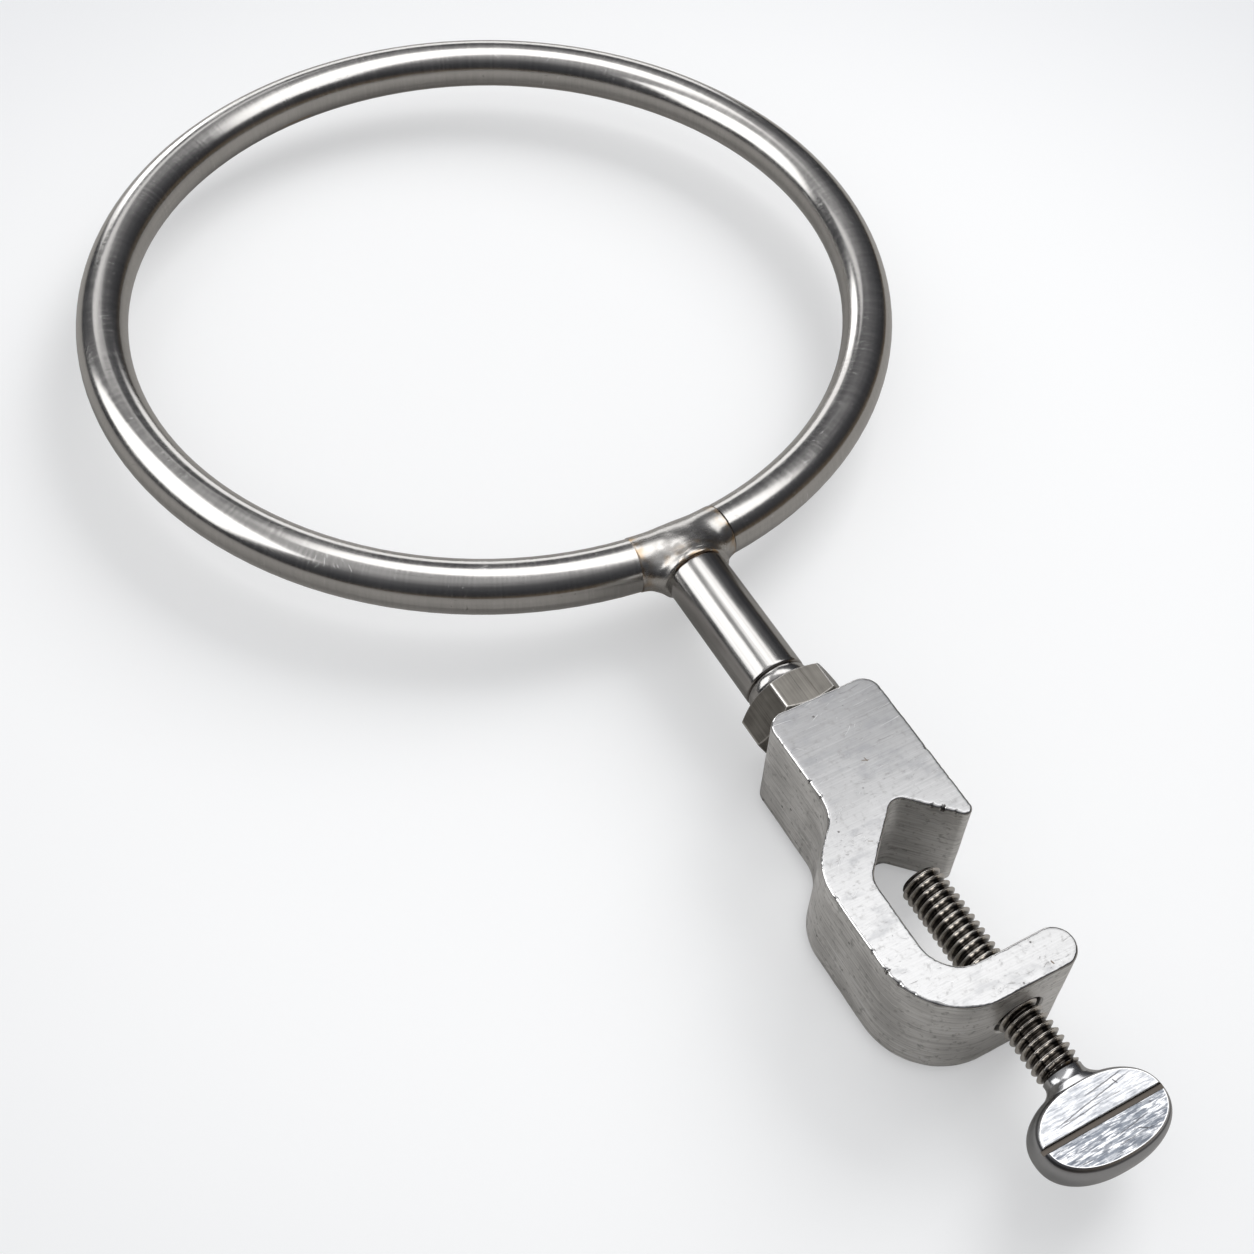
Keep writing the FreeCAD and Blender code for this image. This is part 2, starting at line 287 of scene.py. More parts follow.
@dataclass(frozen=True)
class Outline:
    """A closed outline in the XY plane, evenly sampled, with its outward normals."""

    points: np.ndarray
    normals: np.ndarray
    lengths: np.ndarray

    @classmethod
    def rounded(cls, corners: Sequence[tuple[float, float, float]], step: float) -> "Outline":
        """The outline through rounded corners.

        Formula: at each corner an arc of the given radius touches both sides, and the
        whole line is then sampled anew at even lengths.

        Args:
            corners: (x, y, radius) of each corner, in order, clockwise from above.
            step: distance between two samples.

        Returns:
            The sampled outline.
        """
        given = np.array(corners)
        here, radius = given[:, :2], given[:, 2:]
        back = np.roll(here, 1, axis=0) - here
        ahead = np.roll(here, -1, axis=0) - here
        back /= np.linalg.norm(back, axis=1, keepdims=True)
        ahead /= np.linalg.norm(ahead, axis=1, keepdims=True)
        half = np.arccos(np.clip((back * ahead).sum(axis=1), -1, 1))[:, None] / 2
        middle = back + ahead
        middle /= np.linalg.norm(middle, axis=1, keepdims=True)
        centre = here + middle * radius / np.sin(half)
        start = here + back * radius / np.tan(half) - centre
        end = here + ahead * radius / np.tan(half) - centre
        a0 = np.arctan2(start[:, 1], start[:, 0])
        turn = np.arctan2(end[:, 1], end[:, 0]) - a0
        turn = (turn + math.pi) % (2 * math.pi) - math.pi
        a = a0[:, None] + turn[:, None] * np.linspace(0, 1, 49)[None, :]
        arcs = centre[:, None] + radius[:, None] * np.stack([np.cos(a), np.sin(a)], axis=-1)
        line = arcs.reshape(-1, 2)
        line = np.concatenate([line, line[:1]])
        way = np.concatenate([[0], np.cumsum(np.linalg.norm(np.diff(line, axis=0), axis=1))])
        count = int(round(way[-1] / step))
        even = np.linspace(0, way[-1], count, endpoint=False)
        points = np.stack([np.interp(even, way, line[:, k]) for k in range(2)], axis=-1)
        tangent = np.roll(points, -1, axis=0) - np.roll(points, 1, axis=0)
        tangent /= np.linalg.norm(tangent, axis=1, keepdims=True)
        normals = np.stack([-tangent[:, 1], tangent[:, 0]], axis=-1)
        following = np.roll(points, -1, axis=0)
        area = (points[:, 0] * following[:, 1] - points[:, 1] * following[:, 0]).sum()
        return cls(points, -normals if area > 0 else normals, np.append(even, way[-1]))


# ---- shader graphs ------------------------------------------------------------------


class Graph:
    """Adds nodes to one node tree and joins them."""

    def __init__(self, tree: bpy.types.NodeTree) -> None:
        """Works on the given tree."""
        self.tree = tree

    def add(self, kind: str, inputs: Optional[dict[Any, Any]] = None,
            **settings: Any) -> bpy.types.Node:
        """One node.

        Args:
            kind: the node's type, without the leading ShaderNode.
            inputs: socket name or index to a value, or to a socket that feeds it.
            settings: attributes of the node.

        Returns:
            The node.
        """
        node = self.tree.nodes.new("ShaderNode" + kind)
        for key, value in settings.items():
            setattr(node, key, value)
        return self.feed(node, inputs or {})

    def feed(self, node: bpy.types.Node, inputs: dict[Any, Any]) -> bpy.types.Node:
        """Fills a node's inputs.

        Args:
            node: the node.
            inputs: socket name or index to a value, or to a socket that feeds it.

        Returns:
            The node.
        """
        for key, value in inputs.items():
            if isinstance(value, bpy.types.NodeSocket):
                self.tree.links.new(value, node.inputs[key])
            else:
                node.inputs[key].default_value = value
        return node

    def math(self, operation: str, a: Any, b: Any = 0.0, c: Any = 0.0) -> Socket:
        """The result of one Math node."""
        return self.add("Math", {0: a, 1: b, 2: c}, operation=operation).outputs[0]

    def vector(self, operation: str, a: Any, b: Any = (0.0, 0.0, 0.0)) -> Socket:
        """The vector that comes out of one Vector Math node."""
        return self.add("VectorMath", {0: a, 1: b}, operation=operation).outputs[0]

    def combine(self, x: Any, y: Any, z: Any) -> Socket:
        """A vector made of three numbers."""
        return self.add("CombineXYZ", {0: x, 1: y, 2: z}).outputs[0]

    def dot(self, a: Any, b: Any) -> Socket:
        """The scalar product of two vectors."""
        node = self.add("VectorMath", {0: a, 1: b}, operation="DOT_PRODUCT")
        return node.outputs["Value"]

    def length(self, vector: Any) -> Socket:
        """A vector's length."""
        return self.add("VectorMath", {0: vector}, operation="LENGTH").outputs["Value"]

    def split(self, vector: Socket) -> tuple[Socket, Socket, Socket]:
        """The three numbers of a vector."""
        outputs = self.add("SeparateXYZ", {0: vector}).outputs
        return outputs[0], outputs[1], outputs[2]

    def span(self, value: Any, low: Any, high: Any, start: Any = 0.0, end: Any = 1.0) -> Socket:
        """Value carried smoothly from low..high to start..end, and held outside."""
        inputs = {"Value": value, "From Min": low, "From Max": high, "To Min": start, "To Max": end}
        return self.add("MapRange", inputs, interpolation_type="SMOOTHSTEP").outputs[0]

    def noise(self, vector: Any, scale: float, detail: float = 2.0, rough: float = 0.5) -> Socket:
        """Noise from 0 to 1 at a vector."""
        inputs = {"Vector": vector, "Scale": scale, "Detail": detail, "Roughness": rough}
        return self.add("TexNoise", inputs).outputs["Fac"]

    def mix(self, factor: Any, a: Any, b: Any, blend: str = "MIX") -> Socket:
        """A colour between a and b."""
        inputs = {0: factor, 6: rgba(a), 7: rgba(b)}
        return self.add("Mix", inputs, data_type="RGBA", blend_type=blend).outputs[2]

    def group(self, tree: bpy.types.NodeTree, inputs: dict[str, Any]) -> bpy.types.Node:
        """One use of a shared node group."""
        return self.feed(self.add("Group", node_tree=tree), inputs)


def rgba(colour: Any) -> Any:
    """A three-number colour with its alpha added. Sockets and full colours pass through."""
    plain = isinstance(colour, tuple) and len(colour) == 3
    return (*colour, 1.0) if plain else colour


class SharedGroups:
    """The node groups that several finishes use, each built once."""

    FLOAT = "NodeSocketFloat"
    VECTOR = "NodeSocketVector"

    def __init__(self) -> None:
        """Builds every group."""
        self.bent_bar = self._bent_bar()
        self.grain = self._grain()
        self.scratches = self._scratches()
        self.specks = self._specks()

    def _new(self, name: str, inputs: dict[str, Any],
             outputs: dict[str, str]) -> tuple[Graph, Any, Any]:
        """An empty group with named sockets.

        Args:
            name: the group's name.
            inputs: socket name to its default value. A tuple makes a vector socket.
            outputs: socket name to its socket type.

        Returns:
            The graph inside, its input node's outputs and its output node's inputs.
        """
        tree = bpy.data.node_groups.new(name, "ShaderNodeTree")
        for key, value in inputs.items():
            kind = self.VECTOR if isinstance(value, tuple) else self.FLOAT
            socket = tree.interface.new_socket(key, in_out="INPUT", socket_type=kind)
            socket.default_value = value
        for key, kind in outputs.items():
            tree.interface.new_socket(key, in_out="OUTPUT", socket_type=kind)
        start = tree.nodes.new("NodeGroupInput")
        end = tree.nodes.new("NodeGroupOutput")
        return Graph(tree), start.outputs, end.inputs

    def _bent_bar(self) -> bpy.types.NodeTree:
        """Coordinates that follow a bar bent round Z, in millimetres.

        Formula: the first number is the angle round Z times the ring's radius, and the
        other two are the place in the bar's section: distance out from the ring's
        centre line, and height.

        Returns:
            The group.
        """
        graph, given, wanted = self._new(
            "Bent Bar Coordinates", {"Vector": (0.0, 0.0, 0.0), "Radius": 80.0},
            {"Vector": self.VECTOR})
        x, y, z = graph.split(given["Vector"])
        angle = graph.math("ARCTAN2", y, x)
        along = graph.math("MULTIPLY", angle, given["Radius"])
        out = graph.math("SUBTRACT", graph.length(graph.combine(x, y, 0.0)), given["Radius"])
        graph.tree.links.new(graph.combine(along, out, z), wanted["Vector"])
        return graph.tree

    def _grain(self) -> bpy.types.NodeTree:
        """Fine parallel lines, as a polishing belt leaves them.

        Formula: the lines are noise at the vector times (Along, Across, Across), and the
        patches are noise at the vector times Patch, each taken about its middle.

        Returns:
            The group.
        """
        graph, given, wanted = self._new(
            "Grain", {"Vector": (0.0, 0.0, 0.0), "Along": 0.1, "Across": 8.0, "Patch": 0.15},
            {"Lines": self.FLOAT, "Patches": self.FLOAT})
        stretch = graph.combine(given["Along"], given["Across"], given["Across"])
        lines = graph.noise(graph.vector("MULTIPLY", given["Vector"], stretch), 1.0, 3.0, 0.65)
        patch = graph.combine(given["Patch"], given["Patch"], given["Patch"])
        patches = graph.noise(graph.vector("MULTIPLY", given["Vector"], patch), 1.0, 2.0, 0.5)
        graph.tree.links.new(graph.math("SUBTRACT", lines, 0.5), wanted["Lines"])
        graph.tree.links.new(graph.math("SUBTRACT", patches, 0.5), wanted["Patches"])
        return graph.tree

    def _scratches(self) -> bpy.types.NodeTree:
        """Scattered thin scratches that run mostly one way.

        Formula: the vector is bent a little by soft noise, turned about Z by Angle and
        squeezed to Length by Width, and the highest peaks of the noise there are kept.

        Returns:
            The group.
        """
        graph, given, wanted = self._new(
            "Scratches",
            {"Vector": (0.0, 0.0, 0.0), "Angle": 0.0, "Length": 8.0, "Width": 0.12,
             "Share": 0.1, "Bend": 1.0, "Seed": 0.0},
            {"Mask": self.FLOAT})
        soft = graph.noise(given["Vector"], 0.07, 1.0)
        bend = graph.math("MULTIPLY", graph.math("SUBTRACT", soft, 0.5), given["Bend"])
        turn = graph.math("ADD", given["Angle"], bend)
        turned = graph.add(
            "VectorRotate", {"Vector": given["Vector"], "Angle": turn, "Axis": (0.0, 0.0, 1.0)},
            rotation_type="AXIS_ANGLE").outputs[0]
        x, y, z = graph.split(turned)
        along = graph.math("DIVIDE", x, given["Length"])
        across = graph.math("DIVIDE", y, given["Width"])
        deep = graph.math("ADD", graph.math("DIVIDE", z, given["Length"]), given["Seed"])
        peaks = graph.noise(graph.combine(along, across, deep), 1.0, 1.0, 0.4)
        low = graph.math("SUBTRACT", 0.84, given["Share"])
        mask = graph.span(peaks, low, graph.math("ADD", low, 0.05))
        graph.tree.links.new(mask, wanted["Mask"])
        return graph.tree

    def _specks(self) -> bpy.types.NodeTree:
        """Small pits or spots, at random places and sizes.

        Formula: cells of about Spacing, and a dot of Size round the middle of the cells
        whose random number is under Share.

        Returns:
            The group.
        """
        graph, given, wanted = self._new(
            "Specks", {"Vector": (0.0, 0.0, 0.0), "Spacing": 2.0, "Size": 0.2, "Share": 0.3},
            {"Mask": self.FLOAT})
        scale = graph.math("DIVIDE", 1.0, given["Spacing"])
        cells = graph.add("TexVoronoi", {"Vector": given["Vector"], "Scale": scale}, feature="F1")
        red, green, _ = graph.split(cells.outputs["Color"])
        size = graph.math("DIVIDE", graph.math("MULTIPLY", given["Size"], green), given["Spacing"])
        core = graph.math("MULTIPLY", size, 0.4)
        dot = graph.span(cells.outputs["Distance"], core, size, 1.0, 0.0)
        chosen = graph.math("LESS_THAN", red, given["Share"])
        graph.tree.links.new(graph.math("MULTIPLY", dot, chosen), wanted["Mask"])
        return graph.tree


class GrainRun(Enum):
    """Which way the polishing lines of a finish run."""

    ALONG_X = "along the stem"
    ALONG_Y = "across the stem, on the flats"
    ACROSS_THE_BAR = "round the bent bar's section"
    ALONG_THE_BAR = "along the bent bar"
    ON_THE_SKIN = "along the outline, by the piece's own map"


@dataclass(frozen=True)
class Grain:
    """Fine parallel lines. Along and Across are how many waves fit in a millimetre."""

    run: GrainRun
    along: float = 0.05
    across: float = 3.0
    tone: float = 0.15
    height: float = 0.001
    rough: float = 0.1
    patch: float = 0.15
    patch_tone: float = 0.0
    patch_rough: float = 0.0


@dataclass(frozen=True)
class Scratches:
    """Scattered thin scratches that run mostly one way. Millimetres and degrees.

    The angle goes from X towards Y. The share is how many there are, from 0 to about
    0.3. Lighten above 0 makes them lighter than the metal, below 0 darker. The bend is
    how far they curve away from their angle.
    """

    angle: float
    length: float
    width: float
    share: float
    depth: float
    seed: float = 0.0
    lighten: float = 0.0
    bend: float = 1.0


@dataclass(frozen=True)
class Specks:
    """Small dark pits, each up to the given size, in cells of the given spacing. Millimetres."""

    spacing: float
    size: float
    share: float
    depth: float
    amount: float


@dataclass(frozen=True)
class Cloud:
    """Uneven patches: noise of the given spacing each way, carried from low..high to 0..1."""

    spacing: tuple[float, float, float]
    low: float
    high: float
    colour: Colour
    amount: float


@dataclass(frozen=True)
class Stroke:
    """One straight mark seen from above: its middle, its angle and its size. Millimetres."""

    x: float
    y: float
    angle: float
    length: float
    width: float


@dataclass(frozen=True)
class Metal:
    """A bare metal finish: its colour, its roughness, and the colour of grime and painted shade on
    it.
    """

    name: str
    colour: Colour
    roughness: float
    grains: tuple[Grain, ...] = ()
    dirt_and_shade: Colour = (0.06, 0.05, 0.045)

    def start(self, groups: SharedGroups) -> "FinishBuild":
        """Begins a material with the plain metal and its grain.

        Args:
            groups: the shared node groups.

        Returns:
            The finish, ready for more layers.
        """
        build = FinishBuild(self, groups)
        for grain in self.grains:
            build.grain(grain)
        return build


class FinishBuild:
    """One material in the making: colour, roughness and height, each built up in layers."""

    def __init__(self, metal: Metal, groups: SharedGroups) -> None:
        """Lays down the plain metal.

        Args:
            metal: the finish's numbers.
            groups: the shared node groups.
        """
        self.metal = metal
        self.groups = groups
        self.material = bpy.data.materials.new(metal.name)
        self.material.use_nodes = True
        self.material.node_tree.nodes.clear()
        self.graph = Graph(self.material.node_tree)
        coordinates = self.graph.add("TexCoord")
        self.place = self.graph.vector("MULTIPLY", coordinates.outputs["Object"],
                                       (1 / MM, 1 / MM, 1 / MM))
        self.facing = coordinates.outputs["Normal"]
        self.colour: Any = metal.colour
        self.roughness: Any = metal.roughness
        self.height: Any = 0.0

    def lines_place(self, run: GrainRun) -> Socket:
        """The place, turned so that a grain's lines run along its first number.

        Args:
            run: which way the lines go.

        Returns:
            The turned place, in millimetres.
        """
        if run in (GrainRun.ACROSS_THE_BAR, GrainRun.ALONG_THE_BAR):
            bent = self.graph.group(self.groups.bent_bar, {"Vector": self.place})
            along, out, up = self.graph.split(bent.outputs["Vector"])
            if run is GrainRun.ALONG_THE_BAR:
                return self.graph.combine(along, out, up)
            return self.graph.combine(self.graph.math("SUBTRACT", up, out), along, 0.0)
        if run is GrainRun.ON_THE_SKIN:
            skin = self.graph.add("UVMap", uv_map="skin").outputs[0]
            return self.graph.vector("MULTIPLY", skin, (1 / MM, 1 / MM, 0.0))
        if run is GrainRun.ALONG_Y:
            x, y, z = self.graph.split(self.place)
            return self.graph.combine(y, x, z)
        return self.place

    def mask(self, name: str) -> Socket:
        """A value that the piece's own mesh carries at each point."""
        return self.graph.add("Attribute", attribute_name=name).outputs["Fac"]

    def grain(self, grain: Grain, where: Any = 1.0) -> "FinishBuild":
        """Adds parallel lines in tone, roughness and height.

        Args:
            grain: the lines' numbers.
            where: a mask, 1 where the lines show fully.

        Returns:
            This finish.
        """
        group = self.graph.group(self.groups.grain, {
            "Vector": self.lines_place(grain.run), "Along": grain.along,
            "Across": grain.across, "Patch": grain.patch})
        lines = self.graph.math("MULTIPLY", group.outputs["Lines"], where)
        patches = self.graph.math("MULTIPLY", group.outputs["Patches"], where)
        light = self.graph.math("MULTIPLY_ADD", lines, grain.tone, 1.0)
        light = self.graph.math("MULTIPLY_ADD", patches, grain.patch_tone, light)
        self.colour = self.graph.mix(1.0, self.colour, self.graph.combine(light, light, light),
                                     "MULTIPLY")
        rough = self.graph.math("MULTIPLY_ADD", lines, grain.rough, self.roughness)
        self.roughness = self.graph.math("MULTIPLY_ADD", patches, grain.patch_rough, rough)
        self.height = self.graph.math("MULTIPLY_ADD", lines, grain.height, self.height)
        return self

    def stain(self, mask: Socket, colour: Colour, amount: float = 1.0) -> "FinishBuild":
        """Colours the metal where the mask is."""
        self.colour = self.graph.mix(self.graph.math("MULTIPLY", mask, amount), self.colour, colour)
        return self

    def dull(self, mask: Socket, roughness: float) -> "FinishBuild":
        """Moves the roughness to another value where the mask is.

        Args:
            mask: 1 where it moves fully.
            roughness: the value it moves to.

        Returns:
            This finish.
        """
        inputs = {0: mask, 2: self.roughness, 3: roughness}
        self.roughness = self.graph.add("Mix", inputs, data_type="FLOAT").outputs[0]
        return self

    def raise_by(self, mask: Socket, height_mm: float) -> "FinishBuild":
        """Adds height where the mask is. A negative height digs in."""
        self.height = self.graph.math("MULTIPLY_ADD", mask, height_mm, self.height)
        return self

    def scratches(self, marks: Scratches, where: Any = 1.0) -> "FinishBuild":
        """Digs scattered scratches into the metal.

        Args:
            marks: the scratches' numbers.
            where: a mask, 1 where they show fully.

        Returns:
            This finish.
        """
        mask = self.graph.group(self.groups.scratches, {
            "Vector": self.place, "Angle": math.radians(-marks.angle), "Length": marks.length,
            "Width": marks.width, "Share": marks.share, "Seed": marks.seed,
            "Bend": marks.bend}).outputs["Mask"]
        mask = self.graph.math("MULTIPLY", mask, where)
        tint = BARE_SCRATCH if marks.lighten > 0 else self.metal.dirt_and_shade
        return self.raise_by(mask, -marks.depth).stain(mask, tint, abs(marks.lighten))

    def specks(self, pits: Specks, where: Any = 1.0) -> "FinishBuild":
        """Adds small dark pits.

        Args:
            pits: the pits' numbers.
            where: a mask, 1 where they show fully.

        Returns:
            This finish.
        """
        mask = self.graph.group(self.groups.specks, {
            "Vector": self.place, "Spacing": pits.spacing, "Size": pits.size,
            "Share": pits.share}).outputs["Mask"]
        mask = self.graph.math("MULTIPLY", mask, where)
        return self.raise_by(mask, -pits.depth).stain(mask, self.metal.dirt_and_shade, pits.amount)

    def cloud(self, cloud: Cloud, where: Any = 1.0) -> "FinishBuild":
        """Stains the metal in uneven patches.

        Args:
            cloud: the patches' numbers.
            where: a mask, 1 where they show fully.

        Returns:
            This finish.
        """
        place = self.graph.vector("DIVIDE", self.place, cloud.spacing)
        mask = self.graph.span(self.graph.noise(place, 1.0, 4.0, 0.6), cloud.low, cloud.high)
        return self.stain(self.graph.math("MULTIPLY", mask, where), cloud.colour, cloud.amount)

    def stroke(self, stroke: Stroke, colour: Colour, amount: float) -> "FinishBuild":
        """Draws one straight mark, with soft noise that makes it waver.

        Args:
            stroke: the mark's place and size.
            colour: its colour.
            amount: how far it covers the metal.

        Returns:
            This finish.
        """
        graph = self.graph
        a = math.radians(stroke.angle)
        wobble = graph.math("SUBTRACT", graph.noise(self.place, 1.2, 3.0), 0.5)
        from_middle = graph.vector("SUBTRACT", self.place, (stroke.x, stroke.y, 0.0))
        along = graph.dot(from_middle, (math.cos(a), math.sin(a), 0.0))
        aside = graph.dot(from_middle, (-math.sin(a), math.cos(a), 0.0))
        aside = graph.math("MULTIPLY_ADD", wobble, 0.25, aside)
        ends = graph.span(graph.math("ABSOLUTE", along), stroke.length * 0.3,
                          stroke.length * 0.5, 1.0, 0.0)
        sides = graph.span(graph.math("ABSOLUTE", aside), stroke.width * 0.25,
                           stroke.width * 0.5, 1.0, 0.0)
        return self.stain(graph.math("MULTIPLY", ends, sides), colour, amount)

    def finish(self) -> bpy.types.Material:
        """Joins the layers to the shader.

        Returns:
            The material.
        """
        bump = self.graph.add("Bump", {"Height": self.height, "Distance": MM, "Strength": 1.0})
        shader = self.graph.add("BsdfPrincipled", {
            "Base Color": rgba(self.colour), "Roughness": self.roughness, "Metallic": 1.0,
            "Normal": bump.outputs[0]})
        output = self.graph.add("OutputMaterial")
        self.graph.tree.links.new(shader.outputs[0], output.inputs["Surface"])
        return self.material


def dress(node: str, material: bpy.types.Material) -> None:
    """Gives a CAD node its finish, in place of the plain one it came with.

    Args:
        node: the node's name.
        material: its finish.
    """
    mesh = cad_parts[node].data
    mesh.materials.clear()
    mesh.materials.append(material)


def place_piece(obj: bpy.types.Object, body: str, node: str,
                material: bpy.types.Material) -> None:
    """Puts a new piece on its body, in the stead of one CAD node.

    Args:
        obj: the new piece.
        body: the body it moves with.
        node: the CAD node it stands for.
        material: its finish.
    """
    obj.data.materials.clear()
    obj.data.materials.append(material)
    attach(obj, body)
    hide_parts(node)


# ---- the part -----------------------------------------------------------------------


@dataclass
class SupportRing:
    """The bent bar. The height of its painted gold reflection line is in millimetres."""

    metal: Metal = Metal("Ring Polished Steel", (0.50, 0.488, 0.472), 0.185, (
        Grain(GrainRun.ACROSS_THE_BAR, along=0.10, across=2.0, tone=0.36, height=0.0030,
              rough=0.20, patch=0.06, patch_tone=0.25, patch_rough=0.16),
        Grain(GrainRun.ALONG_THE_BAR, along=0.02, across=1.3, tone=0.22, height=0.003,
              rough=0.08)))
    scratches: tuple[Scratches, ...] = (
        Scratches(30.0, 5.0, 0.16, 0.02, 0.003, seed=3.0, lighten=-0.25),
        Scratches(100.0, 3.0, 0.12, 0.10, 0.004, seed=5.0, lighten=0.5, bend=0.5),
        Scratches(60.0, 2.0, 0.10, 0.10, 0.004, seed=9.0, lighten=-0.4, bend=0.5))
    # the colour of the painted gold reflection line
    gold: Colour = (0.40, 0.25, 0.11)
    reflection_line_level: float = -2.3
    underside_shade: Colour = (0.16, 0.145, 0.13)

    def gold_reflection_line(self, finish: FinishBuild) -> Socket:
        """A painted reflection: a gold line under the bar, on the jaw's root side, standing in for
        a warm fringe of the low surroundings mirrored there.

        Args:
            finish: the ring's finish. Heights and places are in millimetres.

        Returns:
            The line's mask.
        """
        graph = finish.graph
        _, y, z = graph.split(finish.place)
        level = graph.math("ABSOLUTE", graph.math("SUBTRACT", z, self.reflection_line_level))
        line = graph.span(level, 0.12, 0.3, 1.0, 0.0)
        fading = graph.span(y, -19.0, -14.0)
        before_seam = graph.span(y, -9.2, -9.0, 1.0, 0.0)
        return graph.math("MULTIPLY", line, graph.math("MULTIPLY", fading, before_seam))

    def underside(self, finish: FinishBuild) -> Socket:
        """The mask of the bar's lower side, where shade is painted."""
        _, _, up = finish.graph.split(finish.facing)
        return finish.graph.span(up, -0.62, -0.30, 1.0, 0.0)

    def build(self, groups: SharedGroups) -> None:
        """Dresses the ring's own node.

        Args:
            groups: the shared node groups.
        """
        finish = self.metal.start(groups)
        # painted shade: the bar's lower side is darkened
        finish.stain(self.underside(finish), self.underside_shade, 0.8)
        for marks in self.scratches:
            finish.scratches(marks)
        # painted reflection: a gold line under the bar near the tee
        finish.stain(self.gold_reflection_line(finish), self.gold, 0.8)
        dress("support_ring", finish.finish())
        LOG.info("support ring dressed")


@dataclass
class WeldedTee:
    """The junction: a run in line with the ring, and a saddle that swells into a collar.

    Sizes in metres. The collar's profile gives its way from the collar's start and its
    radius, in millimetres. On the run, s is the way along the bar from the stem's axis,
    and a the angle round the bar's section from outwards to up.
    """

    ring_radius: float = 80.2 * MM
    half_arc: float = 9.5 * MM
    run_radius: float = 5.32 * MM
    seam_radius: float = 5.05 * MM
    seam_width: float = 0.35 * MM
    flush_radius: float = 5.19 * MM
    branch_radius: float = 5.75 * MM
    branch_start: float = 3.6 * MM
    branch_end: float = 0.4 * MM
    flare: float = 0.55 * MM
    flare_start: float = 4.4 * MM
    flare_length: float = 2.8 * MM
    fillet_top: float = 3.0 * MM
    fillet_side: float = 5.2 * MM
    bump_height: float = 0.012 * MM
    rows: int = 151
    columns: int = 240
    collar_rows: int = 73
    collar: tuple[tuple[float, float], ...] = (
        (0.0, 5.3), (1.30, 5.9), (1.36, 6.24), (1.5, 6.35), (1.8, 6.42), (2.2, 6.45),
        (2.6, 6.43), (2.85, 6.33), (3.0, 6.12), (3.1, 5.8))
    metal: Metal = Metal("Tee Polished Steel", (0.49, 0.478, 0.46), 0.25, (
        Grain(GrainRun.ALONG_THE_BAR, along=0.12, across=1.8, tone=0.32, height=0.004,
              rough=0.16, patch=0.35, patch_tone=0.25, patch_rough=0.15),))
    soot_and_shade: Colour = (0.13, 0.12, 0.115)
    gold: Colour = (0.42, 0.27, 0.12)
    brown: Colour = (0.10, 0.055, 0.03)

    def on_ray(self, s: np.ndarray, a: np.ndarray, t: np.ndarray) -> np.ndarray:
        """Places out from the bar's centre line.

        Formula: each ray starts on the ring's circle, turned by s over its radius, and
        runs at the angle a in the upright plane through the ring's axis.

        Args:
            s: ways along the bar, as (rows, 1).
            a: angles round the section, as (1, columns).
            t: distances from the centre line.

        Returns:
            The places.
        """
        turn = s / self.ring_radius
        out = self.ring_radius + t * np.cos(a)
        return np.stack([out * np.cos(turn), out * np.sin(turn), t * np.sin(a) + 0 * turn], axis=-1)

    def outside(self, s: np.ndarray, a: np.ndarray, t: np.ndarray) -> np.ndarray:
        """How far places on the rays lie outside the blended skin.

        Formula: the run is a tube round the bent centre line, and the branch is a rod
        along X with a ball for its start, flared towards the weld. Their distances are
        joined by a smooth minimum, whose fillet grows from the top to the sides.

        Args:
            s: ways along the bar, as (rows, 1).
            a: angles round the section, as (1, columns).
            t: distances from the centre line.

        Returns:
            The blended distances, below 0 inside.
        """
        weld_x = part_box("stem_rod")[0].x
        place = self.on_ray(s, a, t)
        from_ball = place - [self.ring_radius + self.branch_start, 0.0, 0.0]
        from_ball[..., 0] = np.minimum(from_ball[..., 0], 0)
        flare = clamped((place[..., 0] - weld_x + self.flare_start) / self.flare_length) ** 1.5
        branch = np.linalg.norm(from_ball, axis=-1) - self.branch_radius - flare * self.flare
        branch = np.maximum(branch, place[..., 0] - (weld_x - self.branch_end))
        run = t - self.run_radius
        fillet = self.fillet_top + (self.fillet_side - self.fillet_top) * np.cos(a) ** 2
        share = np.maximum(fillet - np.abs(run - branch), 0) / fillet
        return np.minimum(run, branch) - share ** 2 * fillet / 4

    def skin_radius(self, s: np.ndarray, a: np.ndarray) -> np.ndarray:
        """How far the blended skin is from the bar's centre line.

        Formula: the blended distance goes through 0 once on each ray, and 22 halvings
        of the stretch from 4.5 mm to 12 mm find that place.

        Args:
            s: ways along the bar, as (rows, 1).
            a: angles round the section, as (1, columns).

        Returns:
            The distance on each ray.
        """
        shape = np.broadcast_shapes(s.shape, a.shape)
        low, high = np.full(shape, 4.5 * MM), np.full(shape, 12 * MM)
        for _ in range(22):
            middle = (low + high) / 2
            out = self.outside(s, a, middle) > 0
            high, low = np.where(out, middle, high), np.where(out, low, middle)
        return low

    def run_shell(self) -> Shell:
        """The run and its saddle.

        Formula: the blended skin, drawn in to a seam at both ends, with low soft bumps.
        On the upper side the seam at the first end was ground flush.

        Returns:
            The skin, with the stains as masks.
        """
        s = np.linspace(-self.half_arc, self.half_arc, self.rows)[:, None]
        a = circle(self.columns)
        radius = self.skin_radius(s, a)
        points, centre = self.on_ray(s, a, radius), self.on_ray(s, a, np.zeros(1))
        to_seam = self.half_arc - np.abs(s) + 0 * a
        flush = clamped(points[..., 2] / (2.5 * MM) + 0.6) * (s < 0)
        seam_radius = self.seam_radius + (self.flush_radius - self.seam_radius) * flush
        fall = clamped(1 - to_seam / self.seam_width) ** 2
        scale = 1 - fall * (1 - seam_radius / radius)
        points = centre + (points - centre) * scale[..., None]
        bumps = smooth_noise(points, 3.0 * MM, 5)[..., None] * self.bump_height
        points = points + (points - centre) / radius[..., None] * bumps
        return Shell(points, self.stains(points, to_seam, flush))

